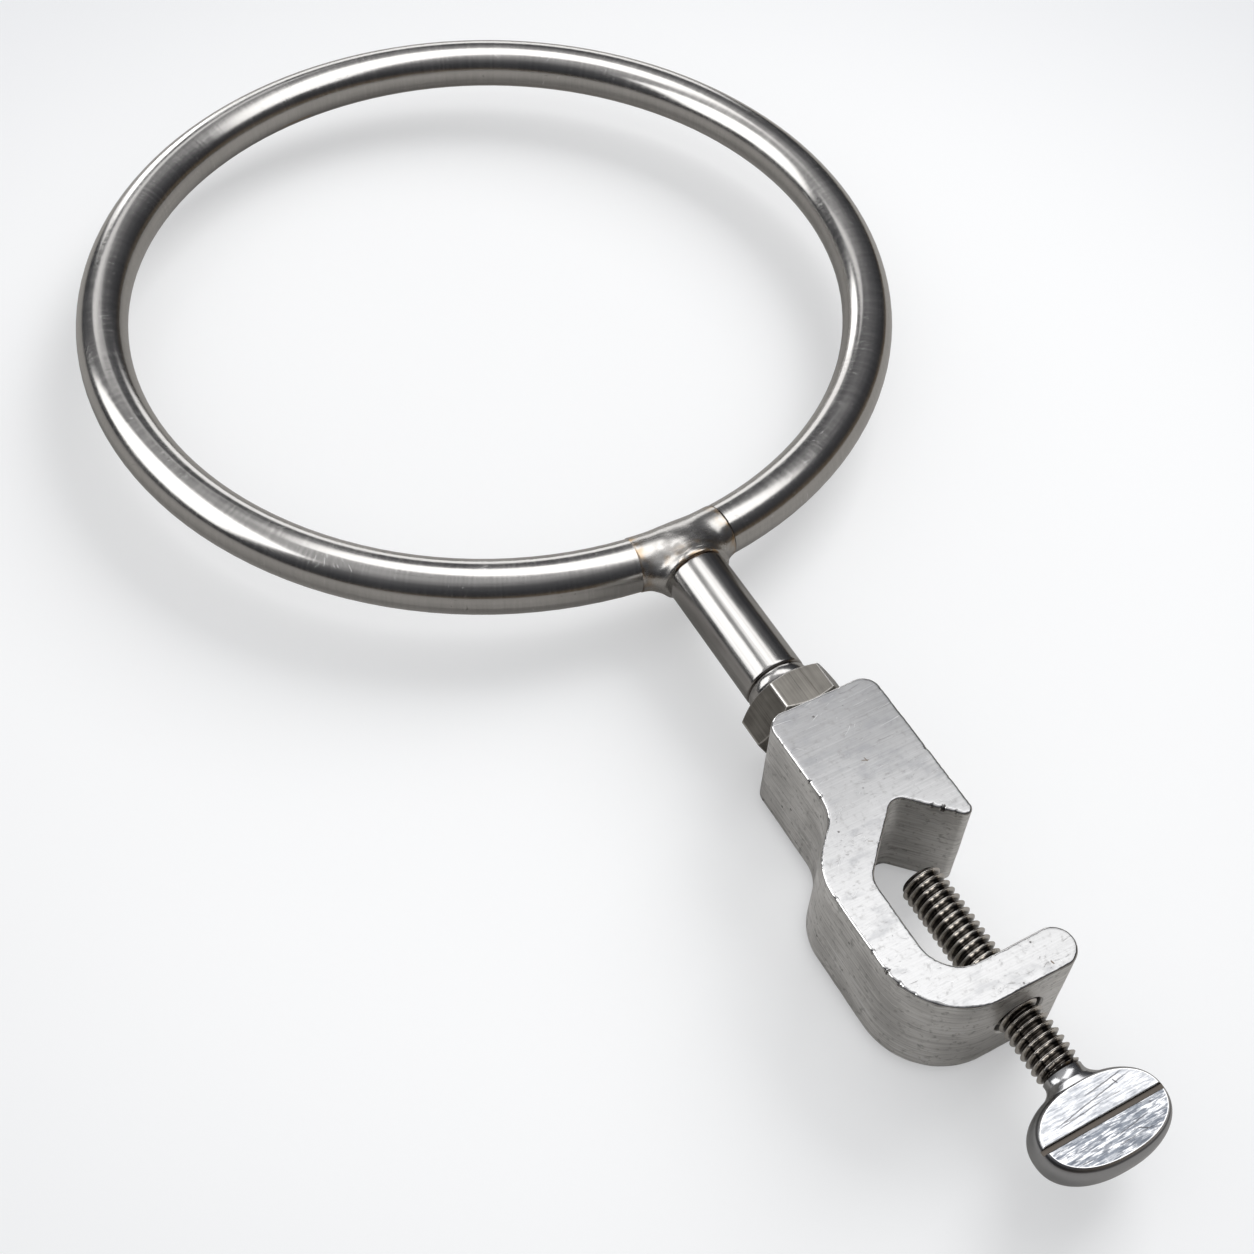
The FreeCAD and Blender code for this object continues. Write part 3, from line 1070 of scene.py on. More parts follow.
    def stains(self, points: np.ndarray, to_seam: np.ndarray,
               flush: np.ndarray) -> dict[str, np.ndarray]:
        """Where the welding left its colours on the run, and where shade is painted.

        Formula: bell curves of the way to the seams and to the crease before the collar, and smoke
        stain with painted shade round the foot of the branch, in the saddle's crease, both broken
        up by soft noise.

        Args:
            points: the skin's points.
            to_seam: the way from each point to the nearer seam.
            flush: 1 where the seam was ground flush.

        Returns:
            The masks.
        """
        x, y, z = points[..., 0], points[..., 1], points[..., 2]
        from_axis = np.hypot(y, z)
        weld_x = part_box("stem_rod")[0].x
        patches = 0.5 + 0.5 * smooth_noise(points, 1.8 * MM, 11)
        seam = bell(to_seam, 0.28 * MM) * (1 - 0.85 * flush)
        halo = bell(to_seam, 1.5 * MM) * clamped(patches * 1.6 - 0.35)
        crease = bell(x - weld_x + 2.5 * MM, 0.9 * MM) * (from_axis < 7.2 * MM)
        # smoke stain and painted shade round the foot of the branch, in the saddle's crease
        foot = clamped(1 - np.abs(x - 82.6 * MM) / (3.6 * MM)) * (z > -3 * MM)
        soot_and_shade = foot * clamped(1.5 - from_axis / (6.4 * MM)) * clamped(patches * 2 - 0.7)
        return {"seam": seam, "gold": clamped(halo + 0.45 * crease * patches),
                "soot_and_shade": clamped(soot_and_shade * 1.2)}

    def collar_shell(self) -> Shell:
        """The collar's rounded bead, round the end of the branch.

        Formula: the profile, with straight steps between its points, revolved about the stem's
        axis. The stains are bell curves of the way along it, with painted shade in the valley
        behind the bead.

        Returns:
            The skin, with the stains as masks.
        """
        knots = np.array(self.collar)
        fine = np.linspace(0, len(knots) - 1, self.collar_rows)
        number = np.arange(len(knots))
        profile = np.stack([np.interp(fine, number, column) for column in knots.T], axis=-1)
        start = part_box("stem_rod")[0].x - knots[-1, 0] * MM
        rings = revolved_rings(profile * MM + [start, 0.0], self.columns)
        way = rings[..., 0] - start
        patches = 0.5 + 0.5 * smooth_noise(rings, 1.5 * MM, 12)
        weld = clamped((way - 2.9 * MM) / (0.12 * MM)) * 0.8
        back = bell(way - 1.36 * MM, 0.1 * MM) * 0.7
        gold = clamped(bell(way - 2.95 * MM, 0.5 * MM) * patches * 1.5)
        return Shell(rings, {"seam": weld + back, "gold": gold,
                             "soot_and_shade": bell(way - 1.3 * MM, 0.3 * MM) * 0.6})

    def build(self, groups: SharedGroups) -> None:
        """Makes the tee and puts it in place of the plain one.

        Args:
            groups: the shared node groups.
        """
        shells = [self.run_shell(), self.collar_shell()]
        obj = skin_object("welded_tee", shells, sharp_angle=50.0)
        finish = self.metal.start(groups)
        # smoke stain and painted shade in the saddle's crease and behind the collar's bead
        finish.stain(finish.mask("soot_and_shade"), self.soot_and_shade, 0.75)
        finish.dull(finish.mask("soot_and_shade"), 0.34)
        finish.stain(finish.mask("gold"), self.gold, 0.75)
        finish.stain(finish.mask("seam"), self.brown, 0.95)
        place_piece(obj, "holder", "weld_tee", finish.finish())
        LOG.info("welded tee built, %d faces", len(obj.data.polygons))


@dataclass
class Stem:
    """The turned stem, with its groove and rounded band. Millimetres.

    Both ends are pairs of x and radius. The first counts x from the collar, and the
    second from the nut's face.
    """

    radius: float = 6.0
    collar_end: tuple[tuple[float, float], ...] = (
        (0.0, 5.75), (0.10, 5.90), (0.24, 5.98), (0.5, 6.0))
    nut_end: tuple[tuple[float, float], ...] = (
        (-4.35, 6.0), (-3.95, 6.0), (-3.78, 5.93), (-3.62, 5.74), (-3.5, 5.60), (-3.38, 5.68),
        (-3.2, 5.86), (-2.9, 6.0), (-2.5, 6.10), (-2.1, 6.14), (-1.7, 6.12), (-1.35, 6.03),
        (-1.1, 5.88), (-0.95, 5.66), (-0.9, 5.45), (-0.02, 5.45), (0.0, 5.0))
    groove_x: float = -3.5
    columns: int = 192
    metal: Metal = Metal("Stem Polished Steel", (0.42, 0.411, 0.400), 0.19, (
        Grain(GrainRun.ALONG_X, along=0.03, across=2.6, tone=0.60, height=0.006, rough=0.16,
              patch=0.25, patch_tone=0.15, patch_rough=0.12),
        Grain(GrainRun.ALONG_X, along=0.06, across=0.7, tone=0.20, height=0.010, rough=0.05)))
    scratches: Scratches = Scratches(4.0, 6.0, 0.14, 0.03, 0.004, seed=1.0, lighten=-0.3, bend=0.5)
    dirt_and_shade: Colour = (0.12, 0.10, 0.085)

    def profile(self) -> np.ndarray:
        """The stem's side, from the collar to the end in the clamp.

        Returns:
            Pairs of x and radius, in metres.
        """
        low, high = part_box("stem_rod")
        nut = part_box("lock_nut")[0].x
        x = np.linspace(low.x + 1.0 * MM, nut - 4.6 * MM, 40)
        shaft = np.stack([x, np.full(len(x), self.radius * MM)], axis=-1)
        start = np.array(self.collar_end) * MM + [low.x, 0.0]
        end = np.array(self.nut_end) * MM + [nut, 0.0]
        thread = [[high.x - 1.0 * MM, 5.0 * MM], [high.x, 4.0 * MM]]
        return np.concatenate([start, shaft, end, thread])

    def build(self, groups: SharedGroups) -> None:
        """Makes the stem and puts it in place of the plain one.

        Args:
            groups: the shared node groups.
        """
        rings = revolved_rings(self.profile(), self.columns)
        x = rings[..., 0]
        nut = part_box("lock_nut")[0].x
        # painted shade: darker in the groove, where the stem goes into the nut and where it leaves
        # the collar
        groove = bell(x - nut - self.groove_x * MM, 0.22 * MM) + (x > nut - 1.0 * MM) * 0.8
        start = bell(x - x[0, 0], 0.16 * MM)
        obj = skin_object("turned_stem", [Shell(rings, {"dirt_and_shade": clamped(groove + start)})], 50.0)
        finish = self.metal.start(groups)
        finish.scratches(self.scratches)
        # painted shade in the groove and at both joints
        finish.stain(finish.mask("dirt_and_shade"), self.dirt_and_shade, 0.8)
        place_piece(obj, "holder", "stem_rod", finish.finish())
        LOG.info("stem built, %d faces", len(obj.data.polygons))


@dataclass
class LockNut:
    """The hexagon nut, its corners softened by use. Sizes in metres."""

    circle_share: float = 0.97
    softness: float = 220.0
    washer_radius: float = 7.9 * MM
    washer_height: float = 0.8 * MM
    columns: int = 540
    metal: Metal = Metal("Nut Satin Steel", (0.185, 0.175, 0.158), 0.34, (
        Grain(GrainRun.ALONG_X, along=0.05, across=3.2, tone=1.1, height=0.004, rough=0.25,
              patch=0.3, patch_tone=0.8, patch_rough=0.2),))
    worn: Colour = (0.72, 0.70, 0.67)
    mark: Stroke = Stroke(122.2, 1.4, 2.0, 9.0, 0.16)
    mark_colour: Colour = (0.08, 0.07, 0.06)
    pits: Specks = Specks(2.2, 0.25, 0.2, 0.01, 0.5)

    def shell(self) -> Shell:
        """The hexagon and its washer face.

        Formula: round the hexagon the radius is the flat's half width over the p-norm
        of the cosines to the six flats, which rounds its corners a little. Near both
        ends it is held inside a 30 degree cone. Corners and rims are worn.

        Returns:
            The skin, with its wear as a mask.
        """
        low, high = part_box("lock_nut")
        flat = high.z
        length = high.x - low.x - self.washer_height
        a = circle(self.columns)
        normals = np.radians(30 + 60 * np.arange(6))[:, None]
        cosines = np.clip(np.cos(a - normals), 1e-6, 1)
        hexagon = flat / (cosines ** self.softness).sum(axis=0) ** (1 / self.softness)
        near_end = np.linspace(0, 1.3 * MM, 24)
        between = np.linspace(1.5 * MM, length - 1.5 * MM, 9)
        x = np.concatenate([near_end, between, length - near_end[::-1]])[:, None]
        cone = self.circle_share * flat + np.minimum(x, length - x) / math.tan(math.radians(30))
        r = np.minimum(hexagon, cone)
        corner = clamped((hexagon / flat - 1.125) / 0.02) * (cone > hexagon)
        wear = clamped(corner ** 2 + bell(cone - hexagon, 0.16 * MM) * 0.8)
        body = np.stack([low.x + x + 0 * a, r * np.cos(a), r * np.sin(a)], axis=-1)
        washer = np.array([[low.x + length, self.washer_radius], [high.x, self.washer_radius]])
        inner = np.array([[low.x, self.circle_share * flat * 0.9]])
        rings = np.concatenate([revolved_rings(inner, self.columns), body,
                                revolved_rings(washer, self.columns)])
        return Shell(rings, {"wear": np.pad(wear, ((1, 2), (0, 0)))})

    def build(self, groups: SharedGroups) -> None:
        """Makes the nut and puts it in place of the plain one.

        Args:
            groups: the shared node groups.
        """
        obj = skin_object("hexagon_nut", [self.shell()], sharp_angle=20.0)
        finish = self.metal.start(groups)
        finish.stain(finish.mask("wear"), self.worn, 0.8)
        finish.dull(finish.mask("wear"), 0.22)
        finish.stroke(self.mark, self.mark_colour, 0.8)
        finish.specks(self.pits)
        place_piece(obj, "holder", "lock_nut", finish.finish())
        LOG.info("lock nut built, %d faces", len(obj.data.polygons))


@dataclass(frozen=True)
class Chip:
    """A place where the clamp's upper edge is knocked. Sizes in millimetres."""

    x: float
    y: float
    width: float
    depth: float


@dataclass
class ClampCasting:
    """The C clamp: one casting, its outline ground and its edges worn. Millimetres."""

    block_half: float = 10.75
    jaw_depth: float = 22.8
    arm_thickness: float = 7.2
    arm_tip: float = 10.7
    spine_inner: float = -11.5
    slant_thickness: float = 9.0
    edge: float = 0.52
    edge_rows: int = 8
    wall_rows: int = 10
    step: float = 0.17
    screw_hole: float = 4.45
    screw_hole_chamfer: float = 0.3
    stem_hole: float = 5.05
    stem_hole_depth: float = 14.0
    drill_point: float = 3.0
    chips: tuple[Chip, ...] = (
        Chip(141.0, -10.75, 0.35, 0.45), Chip(144.2, -10.9, 0.5, 0.55),
        Chip(146.4, -12.6, 1.0, 0.2), Chip(147.5, -14.3, 0.7, 0.25),
        Chip(152.6, 3.0, 0.7, 0.3), Chip(154.4, 4.8, 0.45, 0.5), Chip(155.6, 6.0, 0.5, 0.55),
        Chip(157.2, 7.6, 0.35, 0.45), Chip(158.6, 9.0, 0.4, 0.3),
        Chip(144.2, 10.75, 0.4, 0.5), Chip(151.0, 10.75, 0.25, 0.3),
        Chip(161.7, -18.9, 0.5, 0.4), Chip(172.0, -18.9, 0.7, 0.3), Chip(175.7, -18.9, 0.45, 0.5),
        Chip(178.6, -18.3, 0.5, 0.55), Chip(181.2, -17.4, 0.35, 0.5), Chip(184.4, -15.0, 0.9, 0.3),
        Chip(187.2, -11.0, 1.2, 0.25), Chip(188.2, -2.0, 1.5, 0.12), Chip(131.0, -10.75, 0.6, 0.2))
    metal: Metal = Metal("Clamp Ground Aluminium", (0.58, 0.58, 0.58), 0.40)
    face_grain: Grain = Grain(GrainRun.ALONG_Y, along=0.07, across=3.0, tone=0.75, height=0.006,
                              rough=0.25, patch=0.16, patch_tone=0.55, patch_rough=0.2)
    wall_grain: Grain = Grain(GrainRun.ON_THE_SKIN, along=0.09, across=2.0, tone=1.2, height=0.012,
                              rough=0.25, patch=0.10, patch_tone=0.9, patch_rough=0.35)
    lit_wall_colour: Colour = (0.84, 0.836, 0.825)
    face_shade_colour: Colour = (0.32, 0.32, 0.325)
    face_shade_span: tuple[float, float] = (172.0, 128.0)
    face_cloud: Cloud = Cloud((3.0, 6.0, 3.0), 0.50, 0.72, (0.26, 0.265, 0.28), 0.5)
    fine_cloud: Cloud = Cloud((1.2, 1.2, 1.2), 0.52, 0.75, (0.24, 0.235, 0.23), 0.55)
    face_scratches: tuple[Scratches, ...] = (
        Scratches(75.0, 6.0, 0.20, 0.11, 0.014, seed=2.0, lighten=0.5, bend=0.7),
        Scratches(98.0, 8.0, 0.18, 0.12, 0.012, seed=5.0, lighten=0.4, bend=0.5),
        Scratches(85.0, 4.0, 0.18, 0.12, 0.010, seed=11.0, lighten=-0.35, bend=0.5))
    nicks: Scratches = Scratches(20.0, 1.8, 0.18, 0.10, 0.012, seed=8.0, lighten=-0.6, bend=6.0)
    pits: Specks = Specks(2.6, 0.42, 0.30, 0.03, 0.75)
    face_pits: Specks = Specks(0.9, 0.16, 0.22, 0.01, 0.5)
    marks: tuple[Stroke, ...] = (
        Stroke(141.7, -0.1, 70.0, 1.5, 0.22), Stroke(141.6, 0.1, 10.0, 1.1, 0.2),
        Stroke(155.2, -8.0, 60.0, 1.1, 0.16), Stroke(186.6, 5.0, 15.0, 0.9, 0.3))
    mark_colour: Colour = (0.10, 0.065, 0.035)
    worn: Colour = (0.62, 0.62, 0.63)
    chip_and_edge_shade: Colour = (0.05, 0.045, 0.042)

    def outline(self) -> Outline:
        """The C seen from above, in metres.

        Formula: eleven rounded corners, clockwise from the stem's end of the block.
        The spine slants at 45 degrees, and so do both faces of the V.

        Returns:
            The outline.
        """
        low, high = (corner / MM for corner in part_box("clamp_body"))
        end, out = low.x, high.x
        jaw = end + self.jaw_depth
        arm = out - self.arm_thickness
        outer = low.y
        wall = self.slant_thickness * math.sqrt(2)
        half, tip = self.block_half, (self.arm_thickness - 0.02) / 2
        corners = [
            (end, half, 3.2), (end, -half, 3.2), (jaw + half - wall, -half, 8.0),
            (jaw - outer - wall, outer, 12.0), (out, outer, 13.7), (out, self.arm_tip, tip),
            (arm, self.arm_tip, tip), (arm, self.spine_inner, 6.5),
            (jaw - self.spine_inner, self.spine_inner, 5.0), (jaw, 0.0, 2.4),
            (jaw + half, half, 1.4)]
        return Outline.rounded([(x * MM, y * MM, r * MM) for x, y, r in corners], self.step * MM)

    def edge_radius(self, line: Outline) -> np.ndarray:
        """How far the upper edge is rounded, all the way round the outline.

        Formula: an even radius, with soft noise of two wavelengths, and a bell curve of
        the distance from each chip's place, roughened by finer noise.

        Args:
            line: the outline.

        Returns:
            The radius at each of its points, in metres.
        """
        at = line.points
        radius = self.edge + 0.07 * smooth_noise(at, 5 * MM, 21)
        radius = radius + 0.05 * smooth_noise(at, 1.1 * MM, 22)
        rough = 0.7 + 0.5 * smooth_noise(at, 0.6 * MM, 23)
        for chip in self.chips:
            away = np.linalg.norm(at - np.array([chip.x, chip.y]) * MM, axis=-1)
            radius = radius + chip.depth * bell(away, chip.width * MM) * rough
        return np.clip(radius, 0.2, 1.3) * MM

    def shell(self) -> Shell:
        """The skin, from just inside the lower face's edge to just inside the upper's.

        Formula: the outline is moved inwards and upwards along a quarter circle at the
        upper and the lower edge, and the wall between them waves a little in and out.

        Returns:
            The skin with its map, and its worn and its dark places as masks.
        """
        line = self.outline()
        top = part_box("clamp_body")[1].z
        quarter = np.radians(np.append(np.linspace(0, 90, self.edge_rows), 90))
        wall = np.linspace(-1, 1, self.wall_rows + 2)[1:-1]
        inwards, upwards = 1 - np.cos(quarter), np.sin(quarter)
        flat = np.concatenate([inwards[::-1], 0 * wall, inwards])[:, None]
        rise = np.concatenate([-upwards[::-1], 0 * wall, upwards])[:, None]
        level = np.concatenate([0 * quarter - 1, wall, 0 * quarter + 1])[:, None]
        lower = (self.edge + 0.06 * smooth_noise(line.points, 4 * MM, 31)) * MM
        radius = np.where(level > 0, self.edge_radius(line), lower)
        z = level * (top - radius) + rise * radius
        inset = flat * radius
        inset[[0, -1]] += 0.3 * MM
        spots = np.concatenate([np.broadcast_to(line.points, (*z.shape, 2)), z[..., None]], axis=-1)
        wave = 0.03 * smooth_noise(spots, 9 * MM, 33) + 0.010 * smooth_noise(spots, 2 * MM, 34)
        inset = inset + (1 - np.abs(rise)) * (0.03 - wave) * MM
        moved = line.points - line.normals * inset[..., None]
        rings = np.concatenate([moved, z[..., None]], axis=-1)
        way = np.cumsum(np.abs(np.diff(z[:, 0])) + np.abs(np.diff(inset[:, 0])))
        return Shell(rings, self.wear(rings, rise, radius), (line.lengths, np.append(0, way)))

    def wear(self, rings: np.ndarray, rise: np.ndarray,
             radius: np.ndarray) -> dict[str, np.ndarray]:
        """Where the edges are worn bright, and where shade is painted dark on them.

        Formula: the wear peaks half way round each edge. It is dark where the upper edge is rounded
        far more than usual, and, unevenly, along that edge's lower side, where the dark is painted
        shade.

        Args:
            rings: the skin's points.
            rise: the sine of the way round the edge, from -1 below to 1 above.
            radius: how far the edge is rounded.

        Returns:
            The masks.
        """
        worn = np.sin(2 * np.arcsin(np.abs(rise)))
        deep = clamped((radius / MM - 0.80) / 0.2) * (rings[..., 2] > 0) * (worn > 0.2)
        # painted shade: a dark line along the upper edge's lower side
        under = clamped(1 - np.abs(rise - 0.35) / 0.35)
        uneven = 0.7 + 0.3 * smooth_noise(rings, 3 * MM, 36)
        return {"wear": worn + 0 * radius, "chip": clamped(deep + 0.9 * under * uneven)}

    def holes(self) -> list[bpy.types.Object]:
        """The shapes of the screw's hole and of the stem's.

        Formula: profiles revolved about X. The screw's hole is chamfered at 45 degrees
        on both sides, the stem's ends in the drill's point, and both profiles start
        1 mm clear of the casting.

        Returns:
            Two closed objects, to be cut out of the casting.
        """
        low, high = (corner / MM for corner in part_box("clamp_body"))
        arm = high.x - self.arm_thickness
        r, chamfer, clear = self.screw_hole, self.screw_hole_chamfer, 1.0
        wide = r + chamfer + clear
        screw = np.array([[arm - clear, wide], [arm + chamfer, r], [high.x - chamfer, r],
                          [high.x + clear, wide]])
        depth = low.x + self.stem_hole_depth
        stem = np.array([[low.x - clear, self.stem_hole], [depth, self.stem_hole],
                         [depth + self.drill_point, 0.05]])
        drills = []
        for name, profile in (("screw_drill", screw), ("stem_drill", stem)):
            rings = revolved_rings(profile * MM, 96)
            # the drills carry the dark mask, so the holes' walls get painted shade
            masks = {"wear": np.zeros(rings.shape[:2]), "chip": np.ones(rings.shape[:2])}
            drills.append(skin_object(name, [Shell(rings, masks)]))
        return drills

    def build(self, groups: SharedGroups) -> None:
        """Makes the casting and puts it in place of the plain one.

        Args:
            groups: the shared node groups.
        """
        obj = skin_object("clamp_casting", [self.shell()], sharp_angle=30.0)
        cut(obj, self.holes(), sharp_angle=30.0)
        finish = self.metal.start(groups)
        graph = finish.graph
        up = graph.math("ABSOLUTE", graph.split(finish.facing)[2])
        face = graph.span(up, 0.90, 0.97)
        wall = graph.math("SUBTRACT", 1.0, face)
        x, _, _ = graph.split(finish.place)
        # painted shade: the faces darken towards the block's end, where the reflected light falls
        # off
        shaded_face = graph.math("MULTIPLY", graph.span(x, *self.face_shade_span), face)
        # painted light: the walls get a lighter colour than the faces, for how bright they look
        # under these lamps
        finish.stain(wall, self.lit_wall_colour)
        finish.stain(shaded_face, self.face_shade_colour, 0.90)
        finish.grain(self.face_grain, face)
        finish.grain(self.wall_grain, wall)
        finish.cloud(self.face_cloud, face)
        finish.cloud(self.fine_cloud)
        for marks in self.face_scratches:
            finish.scratches(marks, face)
        finish.scratches(self.nicks)
        finish.specks(self.pits)
        finish.specks(self.face_pits, face)
        for mark in self.marks:
            finish.stroke(mark, self.mark_colour, 0.85)
        finish.stain(finish.mask("wear"), self.worn, 0.2)
        finish.dull(finish.mask("wear"), 0.12)
        # near black in the deepest chips, with painted shade along the upper edge's lower side and
        # inside the holes
        finish.stain(finish.mask("chip"), self.chip_and_edge_shade, 0.9)
        place_piece(obj, "holder", "clamp_body", finish.finish())
        LOG.info("clamp casting built, %d faces", len(obj.data.polygons))


@dataclass
class ThumbScrew:
    """The threaded rod, with a real helical thread. Sizes in metres."""

    pitch: float = 25.4 / 18 * MM
    depth: float = 0.86 * MM
    chamfer: float = 0.8 * MM
    spigot_radius: float = 2.5 * MM
    spigot_length: float = 7.5 * MM
    columns: int = 96
    step: float = 0.055 * MM
    metal: Metal = Metal("Screw Dark Steel", (0.66, 0.63, 0.59), 0.09, (
        Grain(GrainRun.ALONG_X, along=3.0, across=0.4, tone=0.2, height=0.0005, rough=0.05),))
    valley_shade: Colour = (0.030, 0.024, 0.019)

    def shell(self) -> Shell:
        """The thread and its spigot.

        Formula: at angle a and place x, the phase is x over the pitch less a over a
        turn. The radius falls from the crest by the depth times a rounded wave of the
        phase, and nowhere stands outside the end chamfers.

        Returns:
            The skin, with its depth below the crest as a mask.
        """
        low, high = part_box("clamp_screw")
        crest = high.y
        end = high.x - self.spigot_length
        x = np.arange(low.x, end, self.step)[:, None]
        a = circle(self.columns)
        phase = x / self.pitch - a / (2 * math.pi)
        wave = (0.5 - 0.5 * np.cos(2 * math.pi * phase)) ** 0.85
        chamfered = crest - self.chamfer + np.maximum(np.minimum(x - low.x, end - x), 0)
        r = np.minimum(crest - self.depth * wave, chamfered)
        body = np.stack([x + 0 * a, r * np.cos(a), r * np.sin(a)], axis=-1)
        tail = revolved_rings(np.array([
            [end, crest - self.chamfer], [end, self.spigot_radius],
            [high.x, self.spigot_radius]]), self.columns)
        deep = np.concatenate([(crest - r) / self.depth, np.ones(tail.shape[:2])])
        return Shell(np.concatenate([body, tail]), {"deep": clamped(deep)})

    def build(self, groups: SharedGroups) -> None:
        """Makes the threaded rod and puts it in place of the plain one.

        Args:
            groups: the shared node groups.
        """
        obj = skin_object("threaded_rod", [self.shell()], sharp_angle=60.0)
        finish = self.metal.start(groups)
        # painted shade: the thread's valleys are darkened nearly to black
        valleys = finish.graph.span(finish.mask("deep"), 0.42, 0.82)
        finish.stain(valleys, self.valley_shade, 0.93)
        place_piece(obj, "screw_rod", "clamp_screw", finish.finish())
        LOG.info("thumb screw built, %d faces", len(obj.data.polygons))


@dataclass
class ThumbHead:
    """The oval thumb head with its slot and its flared neck. Millimetres."""

    face_inset: float = 1.0
    bevel: float = 0.20
    lid_inset: float = 0.18
    roundness: float = 2.25
    slot_width: float = 0.98
    slot_depth: float = 0.9
    neck_length: float = 1.9
    neck_start: float = 3.6
    neck_height: float = 3.15
    neck_flare: float = 5.3
    neck_most: float = 6.2
    columns: int = 480
    neck_columns: int = 144
    metal: Metal = Metal("Head Scuffed Aluminium", (0.58, 0.585, 0.60), 0.26)
    face_grain: Grain = Grain(GrainRun.ALONG_Y, along=0.10, across=2.4, tone=0.9, height=0.010,
                              rough=0.25, patch=0.5, patch_tone=0.5, patch_rough=0.3)
    scuffs: tuple[Cloud, ...] = (
        Cloud((0.40, 4.0, 3.0), 0.46, 0.56, (0.12, 0.135, 0.16), 0.85),
        Cloud((2.2, 3.2, 3.0), 0.47, 0.58, (0.11, 0.125, 0.15), 0.6),
        Cloud((0.22, 1.9, 1.0), 0.50, 0.57, (0.09, 0.10, 0.12), 0.75))
    scuffed_half: tuple[float, float] = (208.6, 210.2)
    scratches: tuple[Scratches, ...] = (
        Scratches(88.0, 9.0, 0.22, 0.11, 0.015, seed=3.0, lighten=-0.5, bend=0.3),
        Scratches(60.0, 3.0, 0.16, 0.08, 0.010, seed=7.0, lighten=0.5, bend=2.0))
    pits: Specks = Specks(2.0, 0.5, 0.25, 0.02, 0.8)
    marks: tuple[Stroke, ...] = (
        Stroke(205.8, 0.3, 98.0, 18.0, 0.26), Stroke(204.4, 3.2, 96.0, 9.0, 0.30),
        Stroke(206.9, -3.0, 94.0, 10.0, 0.20), Stroke(211.8, 3.0, 97.0, 7.0, 0.22),
        Stroke(213.0, 4.2, 60.0, 2.0, 0.3), Stroke(205.0, 5.0, 20.0, 1.2, 0.35))
    mark_colour: Colour = (0.05, 0.05, 0.055)
    side_shade_colour: Colour = (0.44, 0.445, 0.455)
    slot_shade_colour: Colour = (0.045, 0.036, 0.028)
    under_rim_shade_colour: Colour = (0.07, 0.07, 0.075)
    rim_highlight_colour: Colour = (0.90, 0.90, 0.91)
    neck_colour: Colour = (0.50, 0.50, 0.505)

    def oval(self) -> Shell:
        """The grip.

        Formula: in plan a superellipse, drawn in by the bevel at each face and, down
        the side, by a share of the inset that grows as a power of the height.

        Returns:
            The skin, with its painted bright rim and the painted dark line under it as masks.
        """
        low, high = (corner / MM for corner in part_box("thumb_head"))
        half_y, top = high.y, high.z
        half_x = (high.x - low.x - self.neck_length) / 2
        centre = high.x - half_x
        height = np.linspace(-1, 1, 33)
        ends = self.face_inset + self.bevel
        z = np.concatenate([[-top, -top], height * (top - self.bevel), [top, top]])[:, None]
        side = self.face_inset * np.abs(height) ** 2.6
        lid = ends + self.lid_inset
        inset = np.concatenate([[lid, ends], side, [ends, lid]])[:, None]
        a = circle(self.columns)
        c, s = np.cos(a), np.sin(a)
        power = 2 / self.roundness
        x = centre + (half_x - inset) * np.sign(c) * np.abs(c) ** power
        y = (half_y - inset) * np.sign(s) * np.abs(s) ** power
        rings = np.stack([x, y, z + 0 * x], axis=-1) * MM
        # painted highlight on the bevel's rim, and painted shade in a line just under it
        rim, under = 0 * x, 0 * x
        rim[[1, -2]] = 1.0
        rim[[2, -3]] = 0.2
        under[[3, 4, -5, -4]] = 1.0
        return Shell(rings, {"rim": rim, "under": under, "neck": 0 * x})

    def neck(self) -> Shell:
        """The neck.

        Formula: ellipses along X, whose half width grows as the cube of the way along
        them, so that the neck flares into the grip.

        Returns:
            The skin.
        """
        low, _ = (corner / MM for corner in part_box("thumb_head"))
        share = np.linspace(0, 1.5, 40)[:, None]
        x = low.x + self.neck_length * share
        half_y = self.neck_start + (self.neck_flare - self.neck_start) * (share / 1.25) ** 3
        half_y = np.minimum(half_y, self.neck_most)
        half_z = self.neck_height - 0.2 * np.sin(clamped(share) * math.pi)
        a = circle(self.neck_columns)
        rings = np.stack([x + 0 * a, half_y * np.cos(a), half_z * np.sin(a)], axis=-1) * MM
        none = np.zeros(rings.shape[:2])
        return Shell(rings, {"rim": none, "under": none, "neck": none + 1.0})

    def slot(self) -> bpy.types.Object:
        """The shape of the slot, with its edges broken.

        Formula: half a section, of a broken edge and a wall that leans in a little, and
        its mirror image, carried along Y from side to side.

        Returns:
            A closed object, to be cut out of the grip.
        """
        low, high = (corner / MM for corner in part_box("thumb_head"))
        centre = high.x - (high.x - low.x - self.neck_length) / 2
        w, top = self.slot_width / 2, high.z
        half = np.array([[w + 0.5, top + 0.38], [w + 0.12, top], [w, top - 0.14],
                         [w - 0.08, top - self.slot_depth]])
        section = np.concatenate([half * [-1, 1], half[::-1]])
        y = np.array([-high.y - 1, high.y + 1])[:, None]
        rings = np.stack([centre + section[:, 0] + 0 * y, y + 0 * section[:, 0],
                          section[:, 1] + 0 * y], axis=-1) * MM
        none = np.zeros(rings.shape[:2])
        masks = {"rim": none, "under": none, "neck": none}
        return skin_object("slot_cutter", [Shell(rings, masks)])

